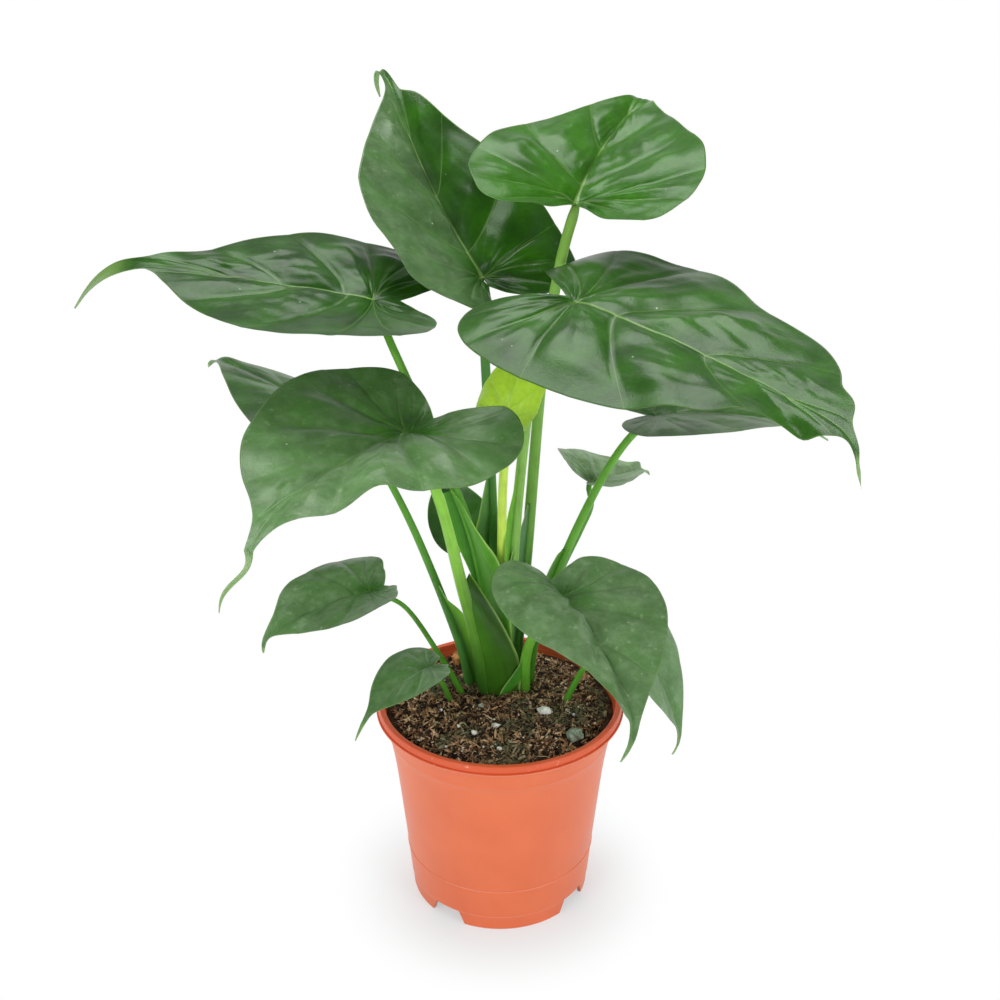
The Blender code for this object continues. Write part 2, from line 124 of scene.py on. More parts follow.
def finished(name, shape, *materials):
    """The smooth-shaded object of a bmesh, which is freed."""
    mesh = bpy.data.meshes.new(name)
    shape.to_mesh(mesh)
    shape.free()
    mesh.shade_smooth()
    for material in materials:
        mesh.materials.append(material)
    piece = bpy.data.objects.new(name, mesh)
    bpy.context.scene.collection.objects.link(piece)
    return piece


def turned(name, profile, steps):
    """A body turned about the pot's axis from a ring of (radius, height) points."""
    shape = bmesh.new()
    points = [shape.verts.new((radius * MM, 0.0, height * MM)) for radius, height in profile]
    edges = [shape.edges.new(pair) for pair in zip(points, points[1:])]
    if profile[0][0] > 0.0:
        edges.append(shape.edges.new((points[-1], points[0])))
    bmesh.ops.spin(shape, geom=points + edges, axis=(0, 0, 1), angle=math.tau, steps=steps, use_merge=True)
    bmesh.ops.remove_doubles(shape, verts=shape.verts, dist=0.01 * MM)
    bmesh.ops.recalc_face_normals(shape, faces=shape.faces)
    bmesh.ops.translate(shape, verts=shape.verts, vec=POT_AXIS)
    return finished(name, shape)


def arc(centre, radius, start, end, count):
    """Points of (radius, height) round a centre, from one angle to another in degrees."""
    turns = [math.radians(start + (end - start) * step / (count - 1)) for step in range(count)]
    return [(centre[0] + radius * math.cos(turn), centre[1] + radius * math.sin(turn)) for turn in turns]


def subtract(piece, cutter):
    """Cuts one mesh from another for good, and removes the cutter."""
    modifier = piece.modifiers.new("cut", "BOOLEAN")
    modifier.operation = "DIFFERENCE"
    modifier.object = cutter
    bpy.context.view_layer.update()
    cut_mesh = bpy.data.meshes.new_from_object(piece.evaluated_get(bpy.context.evaluated_depsgraph_get()))
    piece.modifiers.remove(modifier)
    piece.data = cut_mesh
    bpy.data.objects.remove(cutter)


# The outer wall from the foot up, with the base ring's line and the step under the rim.
wall = [(63.3, 10.9), (63.7, 11.1), (63.85, 11.4), (63.8, 11.8), (63.9, 12.4), (64.8, 22.0), (65.75, 34.3),
        (66.1, 34.5), (66.25, 34.8), (66.15, 35.1), (65.85, 35.4), (67.1, 48.0), (68.6, 63.0), (70.0, 77.0),
        (71.3, 90.0), (72.2, 98.0), (73.2, 106.0), (74.4, 114.0), (75.7, 121.5), (76.75, 126.4),
        (77.1, 126.9), (77.1, 127.6), (78.0, 132.0), (79.0, 137.0), (79.6, 140.2)]
rim = arc((LIP_RADIUS + 1.1, POT_HEIGHT - 1.1), 1.1, 180, 90, 6)
rim += arc((82.4, POT_HEIGHT - 0.8), 0.8, 90, 10, 5)
rim += [(83.6, 146.9), (83.95, 145.2), (83.8, 144.95), (83.45, 144.75), (83.45, 144.45), (83.8, 144.3)]
rim += arc((RIM_RADIUS - 0.75, 143.55), 0.75, 80, -75, 7) + [(82.0, 142.3), (80.6, 142.0), (80.0, 141.2)]
foot = [(63.1, 10.4), (62.95, 6.0), (FOOT_RADIUS, 0.5), (FOOT_RADIUS - 0.5, 0.0), (60.4, 0.0),
        (60.0, 0.4), (60.3, FLOOR_UNDER)]
pot_floor = [(6.0, FLOOR_UNDER), (6.0, FLOOR_OVER)]
inner = [(62.6, FLOOR_OVER), (69.7, 90.0), (71.4, 105.0), (73.4, 117.0), (75.6, 128.0), (77.6, 138.0)]
grow_pot = turned("nursery_pot", rim + wall[::-1] + foot + pot_floor + inner, POT_STEPS)

for number in range(4):
    turn = math.radians(NOTCH_TURN + 90.0 * number)
    outward = Vector((math.sin(turn), -math.cos(turn), 0.0))
    notch = bmesh.new()
    bmesh.ops.create_cube(notch, size=1.0)
    bmesh.ops.scale(notch, verts=notch.verts, vec=Vector(NOTCH_SIZE) * MM)
    for vert in notch.verts:
        vert.co.x *= 1.0 - math.copysign(NOTCH_FLARE, vert.co.z)
    bmesh.ops.bevel(notch, geom=notch.edges, offset=NOTCH_ROUNDING * MM, affect="EDGES", segments=3,
                    profile=0.5, material=-1)
    place = Matrix.Translation(POT_AXIS + outward * FOOT_RADIUS * MM) @ Matrix.Rotation(turn, 4, "Z")
    bmesh.ops.transform(notch, verts=notch.verts, matrix=place)
    subtract(grow_pot, finished("notch", notch))
    drain = bmesh.new()
    place = Matrix.Translation(POT_AXIS + outward * DRAIN_RING * MM + Vector((0, 0, FLOOR_UNDER * MM)))
    bmesh.ops.create_cone(drain, cap_ends=True, segments=32, radius1=DRAIN_RADIUS * MM,
                          radius2=DRAIN_RADIUS * MM, depth=8.0 * MM, matrix=place)
    subtract(grow_pot, finished("drain", drain))
grow_pot.data.set_sharp_from_angle(angle=math.radians(38))

# Polypropylene, injection moulded in one colour. The blasted mould leaves a fine grain, the thick
# rim is a deeper red than the thin wall, which glows a little, and handling leaves flecks on the rim
# pale. Each ridge gets a painted highlight, a pale line where its top would catch the light.
pot_plastic, tree, shader = new_material("clay_polypropylene")
spot = add(tree, "TexCoord", out="Object")
height = add(tree, "SeparateXYZ", spot, out="Z")
cloud = add(tree, "TexNoise", spot, Scale=1 / 0.035, Detail=3.0)
cloud = add(tree, "MapRange", cloud, 0.35, 0.68)
clay = add(tree, "Mix", cloud, "#E66D40", "#EC7548", **COLOUR)
thick = add(tree, "MapRange", height, 0.1415, 0.1435, 0.0, 0.75, **SMOOTH)
clay = add(tree, "Mix", thick, clay, "#DD552C", **COLOUR)
fleck = add(tree, "TexNoise", spot, Scale=1 / 0.0024, Detail=4.0)
fleck = add(tree, "MapRange", fleck, 0.66, 0.76)
scuffs_and_highlights = add(tree, "Math", fleck, thick, operation="MULTIPLY")
# Painted highlight: a pale line along each ridge, joined to the pale scuffs on the rim.
for ridge in RIDGE_HIGHLIGHTS:
    near = add(tree, "Math", height, ridge * MM, 0.2 * MM, operation="COMPARE")
    near = add(tree, "Math", near, 0.45, operation="MULTIPLY")
    scuffs_and_highlights = add(tree, "Math", scuffs_and_highlights, near, operation="MAXIMUM")
clay = add(tree, "Mix", scuffs_and_highlights, clay, "#F5B294", **COLOUR)
gloss = add(tree, "MapRange", cloud, 0.0, 1.0, 0.36, 0.44)
grain = add(tree, "TexNoise", spot, Scale=1 / 0.0007, Detail=2.0)
bump = add(tree, "Bump", Height=grain, Strength=0.12, Distance=0.0002)
feed(shader, Base_Color=clay, Roughness=gloss, Normal=bump, IOR=1.49, Subsurface_Weight=0.12,
     Subsurface_Radius=(1.0, 0.35, 0.15), Subsurface_Scale=0.003)
grow_pot.data.materials.clear()
grow_pot.data.materials.append(pot_plastic)
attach(grow_pot, "root")
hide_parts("grow_pot")

# --- Potting mix ----------------------------------------------------------------------------------
# Peat, coir and bark fines, heaped a little round the stalks. The body of it is turned and then
# roughened, and shreds, crumbs and grains lie loose on its top.

MIX_RADIUS = 77.4
MIX_TOP = 150.0  # height of the level top that is turned, before it is heaped
MIX_RINGS = 86
MIX_STEPS = 300
# Height of the mound's top at each distance from the pot's axis.
MOUND = [(0.0, 151.5), (20.0, 151.0), (35.0, 149.2), (48.0, 147.0), (60.0, 144.6), (70.0, 142.4),
         (MIX_RADIUS, 140.6)]
# Heaps on the mound: place from the pot's axis, radius and height.
HEAPS = [((10.0, -14.0), 13.0, 4.5), ((-4.0, -22.0), 14.0, 2.0), ((28.0, -6.0), 14.0, 2.5),
         ((-34.0, -12.0), 13.0, 2.0), ((40.0, -34.0), 14.0, 2.2), ((-6.0, -46.0), 16.0, 1.5)]
# Lumps and crumbs of the top: size, depth in the noise and height.
CLODS = [(13.0, 0.0, 3.2), (5.5, 40.0, 2.6), (2.4, 80.0, 0.9), (1.2, 90.0, 0.4)]


def packed_place(node):
    """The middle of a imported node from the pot's axis, and its half size."""
    low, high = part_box(node)
    return ((low + high) / 2 - POT_AXIS) / MM, (high - low) / 2 / MM


# The pebbles and the large grains, which press the crumbs flat: middle and half width.
LAIN = [(middle, half.x) for middle, half in map(packed_place, (
    "pebble_clay", "pebble_grey", "perlite_1", "perlite_2", "perlite_3", "perlite_4", "perlite_5"))]


def bell(x, y, middle, wide):
    """1 at a middle, and falling to nothing round it."""
    return math.exp(-((x - middle[0]) ** 2 + (y - middle[1]) ** 2) / wide ** 2)


def soil_height(x, y):
    """Height of the crumbly top, at x and y from the pot's axis."""
    radius = math.hypot(x, y)
    mound = MOUND[-1][1]
    for (near, high), (far, low) in zip(MOUND, MOUND[1:]):
        if radius <= far:
            mound = high + (low - high) * (radius - near) / (far - near)
            break
    crumbs = sum(noise.noise(Vector((x, y, deep)) / wide) * high for wide, deep, high in CLODS)
    crumbs += sum(high * bell(x, y, middle, wide) for middle, wide, high in HEAPS)
    spread = min(1.0, 0.35 + 5.0 * max(0.0, 1.0 - radius / (MIX_RADIUS - 0.4)))
    return mound + crumbs * spread * (1.0 - max(bell(x, y, middle, half + 1.5) for middle, half in LAIN))


top = [(MIX_RADIUS * step / MIX_RINGS, MIX_TOP) for step in range(MIX_RINGS + 1)]
body = [(77.2, 137.0), (75.2, 128.0), (73.0, 117.0), (71.0, 105.0), (69.3, 90.0), (62.2, 13.9), (0.0, 13.9)]
potting_mix = turned("potting_mix_top", top + body, MIX_STEPS)
for vert in potting_mix.data.vertices:
    if vert.co.z > (MIX_TOP - 0.1) * MM:
        x, y = (vert.co.x - POT_AXIS.x) / MM, (vert.co.y - POT_AXIS.y) / MM
        vert.co.z = soil_height(x, y) * MM

# Damp peat: near black between the crumbs and warm brown where a crumb has dried.
peat, tree, shader = new_material("damp_peat")
spot = add(tree, "TexCoord", out="Object")
coarse = add(tree, "TexNoise", spot, Scale=1 / 0.006, Detail=5.0, Roughness=0.65)
fine = add(tree, "TexNoise", spot, Scale=1 / 0.0011, Detail=3.0)
dry = add(tree, "MapRange", coarse, 0.42, 0.66)
brown = add(tree, "Mix", dry, "#18100B", "#4E3828", **COLOUR)
light = add(tree, "MapRange", fine, 0.56, 0.78, 0.0, 0.8)
brown = add(tree, "Mix", light, brown, "#8E7355", **COLOUR)
bump = add(tree, "Bump", Height=fine, Strength=0.9, Distance=0.0008)
feed(shader, Base_Color=brown, Normal=bump, Roughness=0.9, Specular_IOR_Level=0.25)
potting_mix.data.materials.append(peat)
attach(potting_mix, "root")
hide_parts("potting_mix")

# Dried bark and coir: fibrous, matt, from dark brown to straw, and greenish where it stays damp.
fibre, tree, shader = new_material("coir_and_bark")
spot = add(tree, "TexCoord", out="Object")
mottle = add(tree, "TexNoise", spot, Scale=1 / 0.0016, Detail=3.0)
dryness = add(tree, "Attribute", attribute_name="dryness", out="Fac")
tone = add(tree, "Math", dryness, mottle, operation="MULTIPLY")
brown = add(tree, "MapRange", tone, 0.0, 0.3)
brown = add(tree, "Mix", brown, "#1E120B", "#C6946A", **COLOUR)
straw = add(tree, "MapRange", tone, 0.3, 0.52)
brown = add(tree, "Mix", straw, brown, "#E6D0AC", **COLOUR)
damp = add(tree, "TexNoise", spot, Scale=1 / 0.028, Detail=2.0)
damp = add(tree, "MapRange", damp, 0.53, 0.62, 0.0, 0.7)
brown = add(tree, "Mix", damp, brown, "#5A6244", **COLOUR)
feed(shader, Base_Color=brown, Roughness=0.8)


def scattered(draw, reach=73.0):
    """A point on the soil's top, from the pot's axis."""
    radius = reach * math.sqrt(draw.random())
    turn = draw.random() * math.tau
    x, y = radius * math.cos(turn), radius * math.sin(turn)
    return Vector((x, y, soil_height(x, y)))


# Shreds of coir and bark: curled strips, dull brown, some bleached to straw, in two meshes.
SHREDS = 3100  # in each mesh
SHRED_THICKNESS = 0.28
draw = random.Random(11)
for part in ("soil_shreds_1", "soil_shreds_2"):
    shape = bmesh.new()
    dryness = shape.verts.layers.float.new("dryness")
    for number in range(SHREDS):
        spot = scattered(draw) + Vector((0, 0, draw.uniform(-0.5, 1.6)))
        if any((spot - middle).xy.length < 1.2 * half for middle, half in LAIN):
            continue
        long, wide = 1.8 + 8.0 * draw.random() ** 2.2, 0.4 + 1.9 * draw.random() ** 1.8
        curl, twist = draw.uniform(-1.7, 1.7), draw.uniform(-1.2, 1.2)
        strip = bmesh.ops.create_grid(shape, x_segments=5, y_segments=1, size=0.5)["verts"]
        lie = Matrix.Rotation(draw.uniform(0, math.tau), 4, "Z") @ Matrix.Rotation(draw.gauss(0, 0.5), 4, "Y")
        lie = lie @ Matrix.Rotation(draw.gauss(0, 0.9), 4, "X")
        patch = noise.noise(Vector((spot.x, spot.y, 7.0)) / 7.0)
        tone = min(max(draw.random() ** 1.9 + 0.4 * patch, 0.0), 1.0)
        for vert in strip:
            along, across = vert.co.x, vert.co.y * wide * (1.0 - 3.2 * vert.co.x ** 2)
            bend = along * curl
            bowed = Vector((math.sin(bend) / curl * long, across, (1 - math.cos(bend)) / curl * long))
            bowed.rotate(Matrix.Rotation(along * twist, 3, "X"))
            vert.co = POT_AXIS + (spot + lie @ bowed) * MM
            vert[dryness] = tone
    shreds = finished(part, shape, fibre)
    skin = shreds.modifiers.new("thickness", "SOLIDIFY")
    skin.thickness = SHRED_THICKNESS * MM
    skin.offset = 0.0
    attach(shreds, "root")


def lump(shape, place, size, draw, jitter):
    """An angular grain: a small icosphere whose corners are pushed about."""
    lie = Matrix.Rotation(draw.uniform(0, math.tau), 4, "Z") @ Matrix.Rotation(draw.gauss(0, 0.5), 4, "X")
    corners = bmesh.ops.create_icosphere(shape, subdivisions=1, radius=1.0)["verts"]
    for vert in corners:
        pushed = vert.co * (1.0 + draw.uniform(-jitter, jitter))
        vert.co = POT_AXIS + (place + lie @ (pushed * Vector(size))) * MM
    return corners


# Crumbs of bark and peat, some of them the size of a lentil.
CRUMBS = 1500
shape = bmesh.new()
dryness = shape.verts.layers.float.new("dryness")
for number in range(CRUMBS):
    across = 0.6 + 2.0 * draw.random() ** 2
    size = (across, across * draw.uniform(0.5, 0.9), across * draw.uniform(0.35, 0.7))
    tone = draw.random() ** 2
    for vert in lump(shape, scattered(draw), size, draw, 0.28):
        vert[dryness] = tone
crumbs = finished("soil_crumbs", shape, fibre)
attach(crumbs, "root")

# Perlite: popped volcanic glass, white, light and full of pores. The five largest grains are
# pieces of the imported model, and the small ones lie between the shreds.
perlite, tree, shader = new_material("expanded_perlite")
spot = add(tree, "TexCoord", out="Object")
pores = add(tree, "TexVoronoi", spot, Scale=1 / 0.0008)
stain = add(tree, "TexNoise", spot, Scale=1 / 0.0022, Detail=3.0)
stain = add(tree, "MapRange", stain, 0.5, 0.7, 0.0, 0.7)
white = add(tree, "Mix", stain, "#F2F1EC", "#BDB29E", **COLOUR)
bump = add(tree, "Bump", Height=pores, Strength=0.6, Distance=0.0003)
feed(shader, Base_Color=white, Normal=bump, Roughness=0.85)

FINE_PERLITE = 110
shape = bmesh.new()
for number in range(FINE_PERLITE):
    across = 0.4 + 1.3 * draw.random() ** 2.5
    place = scattered(draw, 70.0) + Vector((0, 0, 0.4))
    lump(shape, place, (across, across * 0.8, across * 0.7), draw, 0.3)
fine_perlite = finished("soil_perlite", shape, perlite)
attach(fine_perlite, "root")


def packed_grain(node, material, jitter, rounds, seed):
    """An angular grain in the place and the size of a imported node."""
    middle, half = packed_place(node)
    grit = random.Random(seed)
    offset = Vector((seed * 7.0, 0, 0))
    shape = bmesh.new()
    for vert in bmesh.ops.create_icosphere(shape, subdivisions=rounds, radius=1.0)["verts"]:
        push = 1.0 + jitter * noise.noise(vert.co * 1.6 + offset) + grit.uniform(-0.02, 0.02)
        push += 0.5 * jitter * noise.noise(vert.co * 4.0 + offset)
        vert.co = POT_AXIS + (middle + vert.co * half * push) * MM
    grain = finished(node + "_grain", shape, material)
    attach(grain, "root")
    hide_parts(node)
    return grain


for number in range(1, 6):
    grain = packed_grain(f"perlite_{number}", perlite, 0.5, 3, number)

# Two pebbles that came with the mix: one of fired clay and one of grey stone.
PEBBLES = [("pebble_clay", "fired_clay", "#E0A060", "#A86A34", 0.4),
           ("pebble_grey", "grey_stone", "#94A28E", "#616B5A", 0.32)]
for node, finish, pale, dark, jitter in PEBBLES:
    stone, tree, shader = new_material(finish)
    cloud = add(tree, "TexNoise", add(tree, "TexCoord", out="Object"), Scale=1 / 0.003, Detail=5.0)
    cloud = add(tree, "MapRange", cloud, 0.42, 0.62)
    tone = add(tree, "Mix", cloud, pale, dark, **COLOUR)
    bump = add(tree, "Bump", Height=cloud, Strength=0.5, Distance=0.0005)
    feed(shader, Base_Color=tone, Normal=bump, Roughness=0.8)
    pebble = packed_grain(node, stone, jitter, 4, 9)

# --- Corm -----------------------------------------------------------------------------------------
# The short underground stem that the middle stalks grow from. The mix covers it, and its node keeps
# its shape under a skin of brown, papery old leaf bases with rings where they dropped.

corm_skin, tree, shader = new_material("corm_skin")
rings = add(tree, "TexWave", add(tree, "TexCoord", out="Object"), Scale=1 / 0.02, Distortion=3.0,
            Detail=3.0, bands_direction="Z", out="Fac")
brown = add(tree, "Mix", rings, "#4A3020", "#8A6845", **COLOUR)
bump = add(tree, "Bump", Height=rings, Strength=0.5, Distance=0.0006)
feed(shader, Base_Color=brown, Normal=bump, Roughness=0.85)
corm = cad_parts["corm"]
corm.data.materials.clear()
corm.data.materials.append(corm_skin)

# --- Leaf blades ----------------------------------------------------------------------------------
# Each blade is a flat heart that bends along its midrib and cups across it. It is a closed sheet
# under a millimetre thick with a fine margin. The veins lie in shallow grooves above and stand out
# as ribs below, and the tissue between them is quilted.

# Half of a flat blade, from the tip back round the lobe to the notch beside the hub, as (share of
# the half width, share of the length). The hub is at 0, the tip at 1, and the lobes lie below 0.
# One list is for a slender blade and one for a blade that stays broad and ends suddenly, and each
# leaf lies somewhere between the two.
LOBE = [(0.95, -0.11), (0.79, -0.23), (0.56, -0.285), (0.33, -0.25)]
HALF_BLADE = [(0.07, 0.90), (0.20, 0.79), (0.46, 0.63), (0.73, 0.44), (0.93, 0.25), (1.0, 0.06)] + LOBE
BROAD_HALF = [(0.09, 0.985), (0.30, 0.925), (0.60, 0.78), (0.84, 0.57), (0.97, 0.32), (1.0, 0.08)] + LOBE
FAN_END = 0.02  # veins that reach the margin behind this share of the length all start at the hub
VEIN_LEAN = 2.1  # how far forward the others run
VEIN_ARCH = 1.45  # how late they turn towards the tip
MIDRIB_STEPS = 120
LOBE_REACH = 0.4  # the midrib's line is carried this share of the length behind the hub
LOBE_SPAN = 0.3  # share of the length, behind the hub, over which the lobes' bend is reached
TIP_START = 0.78  # share of the blade, short of its tail, where the tip begins to bend
VEINS = 9  # steps between side veins from the notch to the tip, on each side
ROWS_PER_VEIN = 16
BLADE_ROWS = VEINS * ROWS_PER_VEIN
HALF_COLUMNS = 30
TISSUE = 0.75  # thickness between the ribs
FULL_LENGTH = 200.0  # of a blade whose puckers and ribs have the sizes given in grow_blade


def smooth_path(points, count):
    """A Catmull-Rom curve through the points, as count points."""
    before = [2 * a - b for a, b in zip(points[0], points[1])]
    after = [2 * a - b for a, b in zip(points[-1], points[-2])]
    held = [before, *[list(point) for point in points], after]
    path = []
    for number in range(count):
        place = (len(points) - 1) * number / (count - 1)
        span = min(int(place), len(points) - 2)
        u = place - span
        path.append([b + 0.5 * u * (c - a + (2 * a - 5 * b + 4 * c - d) * u + (3 * b - a - 3 * c + d) * u * u)
                     for a, b, c, d in zip(*held[span:span + 4])])
    return path


def ease(low, high, value):
    """0 at low, 1 at high, and smooth between them."""
    share = min(max((value - low) / (high - low), 0.0), 1.0)
    return share * share * (3.0 - 2.0 * share)


@dataclass
class Blade:
    """The shape of one leaf blade, in millimetres and degrees from the pot's axis.

    A pair of values is for the left and the right half, with the tip ahead.
    """

    hub: tuple  # where the stalk meets the blade
    heading: float  # direction of the tip over the ground, from +x towards +y
    pitch: float  # rise of the midrib at the hub
    length: float
    half_width: float
    roll: float = 0  # turn about the midrib, the right side down
    twist: float = 0  # what is added to the roll towards the tip
    droop: tuple = (0, 0, 0)  # bends down: over the length, over its last stretch and over the drip tip
    sweep: tuple = (0, 0, 0)  # the same to the left
    tail_wave: float = 0  # how far the drip tip sways to each side
    tail: float = 0.08  # length of the drip tip, as a share
    waist: float = 0.022  # half width of the drip tip, as a share of the blade's
    fold: tuple = (0, 0)  # rise at the midrib
    curl: tuple = (0, 0)  # how far it bows back down towards the margin
    lobe: float = 0  # bend of the lobes behind the hub
    back: float = 1.0  # length of the lobes
    web: float = 0.05  # how far behind the hub they are joined, as a share of the length
    sides: tuple = (1, 1)  # width, against half_width
    broad: tuple = (0, 0)  # how broad it stays towards the tip
    ripples: list | tuple = ()  # the margin's waves: side, place from notch to tip, width, rise, reach out
    fresh: float = 0.4  # 0 for an old dark blade and 1 for a bright one
    bloom_and_sheen: tuple = (0.1, 0.1)  # how much pale wax and dust lies on each half, with a painted sheen in the same pale tone
    quilt: float = 1.0  # how much the tissue between the veins puckers
    midrib: float = 0.3  # how pale the midrib is

    def __post_init__(self):
        """Follows the midrib from behind the lobes to the tip: its places from the hub, and axes."""
        self.hub = Vector(self.hub)
        self.first = -int(LOBE_REACH * MIDRIB_STEPS)
        self.stations = []
        place = Vector((0.0, 0.0, 0.0))
        for number in range(self.first, MIDRIB_STEPS + 1):
            share = number / MIDRIB_STEPS
            ahead = max(share, 0.0)
            stretches = (ahead, ease(TIP_START * (1.0 - self.tail), 1.0, ahead),
                         ease(1.0 - 1.1 * self.tail, 1.0, ahead))
            down, left = [sum(bend * part for bend, part in zip(bends, stretches))
                          for bends in (self.droop, self.sweep)]
            rise = self.pitch - down + self.lobe * max(-share, 0.0) / LOBE_SPAN
            axes = self.axes(*map(math.radians, (self.heading + left, rise, self.roll + self.twist * share)))
            place = place + axes[0] * (self.length / MIDRIB_STEPS)
            sway = self.tail_wave * math.sin(math.tau * max((ahead - 1.0) / self.tail + 1.0, 0.0))
            self.stations.append((place + axes[1] * sway, *axes))
        shift = self.stations[-self.first][0].copy()
        self.stations = [(place - shift, *axes) for place, *axes in self.stations]

    @staticmethod
    def axes(turn, rise, roll):
        """Unit vectors along the midrib, to its right and out of the upper face."""
        along = Vector((math.cos(turn) * math.cos(rise), math.sin(turn) * math.cos(rise), math.sin(rise)))
        level = Vector((math.sin(turn), -math.cos(turn), 0.0))
        up = level.cross(along)
        right = level * math.cos(roll) - up * math.sin(roll)
        return along, right, up * math.cos(roll) + level * math.sin(roll)

    def station(self, share):
        """The midrib's place and axes at a share of the length."""
        place = min(max(share * MIDRIB_STEPS - self.first, 0.0), len(self.stations) - 1.0)
        low = min(int(place), len(self.stations) - 2)
        return [a.lerp(b, place - low) for a, b in zip(self.stations[low], self.stations[low + 1])]

    def point(self, across, along):
        """The place of a point of the flat blade: across to the right and along from the hub."""
        centre, _, right, up = self.station(along / self.length)
        half = 1 if across >= 0 else 0
        fold = math.radians(self.fold[half])
        bow = math.radians(self.curl[half]) / self.half_width or 1e-6
        slope = fold - bow * abs(across)
        sideways = (math.sin(fold) - math.sin(slope)) / bow
        rise = (math.cos(slope) - math.cos(fold)) / bow
        return self.hub + centre + right * math.copysign(sideways, across) + up * rise

    def margin(self, half):
        """One half's margin on the flat blade, from the notch beside the hub to the tip."""
        tip = [(0.0, 1.0), (0.8 * self.waist, 1 - 0.4 * self.tail), (1.2 * self.waist, 1 - 0.8 * self.tail)]
        mixed = [[a + (b - a) * self.broad[half] for a, b in zip(slender, broad)]
                 for slender, broad in zip(HALF_BLADE, BROAD_HALF)]
        body = [(x, y * (1 - self.tail) if y > 0 else y * self.back) for x, y in mixed]
        notch = [(0.14, 0.5 * (body[-1][1] - self.web)), (0.0, -self.web)]
        outline = smooth_path(tip + body + notch, BLADE_ROWS + 1)
        side = self.half_width * self.sides[half] * (1 if half else -1)
        return [(max(x, 0.0) * side, y * self.length) for x, y in reversed(outline)]


def closed_sheet(name, columns, rows, spread, place, lift, depth, marks, flat, materials):
    """A thin sheet with two faces that meet in a fine margin, over a grid of u and v.

    v runs from 0 to 1, and spread gives u for each column from -1 to 1. place is the unlifted
    point in millimetres. lift raises both faces and depth is the thickness. marks are values for
    the material by name, and flat is the place on the sheet laid out, in metres.
    """
    shape = bmesh.new()
    layers = {}
    for mark, value in marks(0.5, 0.5).items():
        kind = shape.verts.layers.float if isinstance(value, float) else shape.verts.layers.float_color
        layers[mark] = kind.new(mark)
    laid = shape.loops.layers.uv.new("laid_out")
    bmesh.ops.create_grid(shape, x_segments=columns, y_segments=rows, size=1.0)
    grid = {vert: (spread(vert.co.x), 0.5 + 0.5 * vert.co.y) for vert in shape.verts}
    for vert, spot in grid.items():
        for mark, value in marks(*spot).items():
            vert[layers[mark]] = value
        vert.co = place(*spot) * MM + POT_AXIS
    for face in shape.faces:
        for loop in face.loops:
            loop[laid].uv = flat(*grid[loop.vert])
    shape.normal_update()
    normals = {vert: vert.normal.copy() for vert in grid}
    copied = bmesh.ops.duplicate(shape, geom=shape.verts[:] + shape.edges[:] + shape.faces[:])
    under = [part for part in copied["geom"] if isinstance(part, bmesh.types.BMFace)]
    bmesh.ops.reverse_faces(shape, faces=under)
    for face in under:
        face.material_index = 1
    for vert, spot in grid.items():
        height = lift(*spot) * MM
        copied["vert_map"][vert].co = vert.co + normals[vert] * (height - depth(*spot) * MM)
        vert.co = vert.co + normals[vert] * height
    bmesh.ops.remove_doubles(shape, verts=shape.verts, dist=0.015 * MM)
    bmesh.ops.dissolve_degenerate(shape, edges=shape.edges, dist=0.005 * MM)
    return finished(name, shape, *materials)


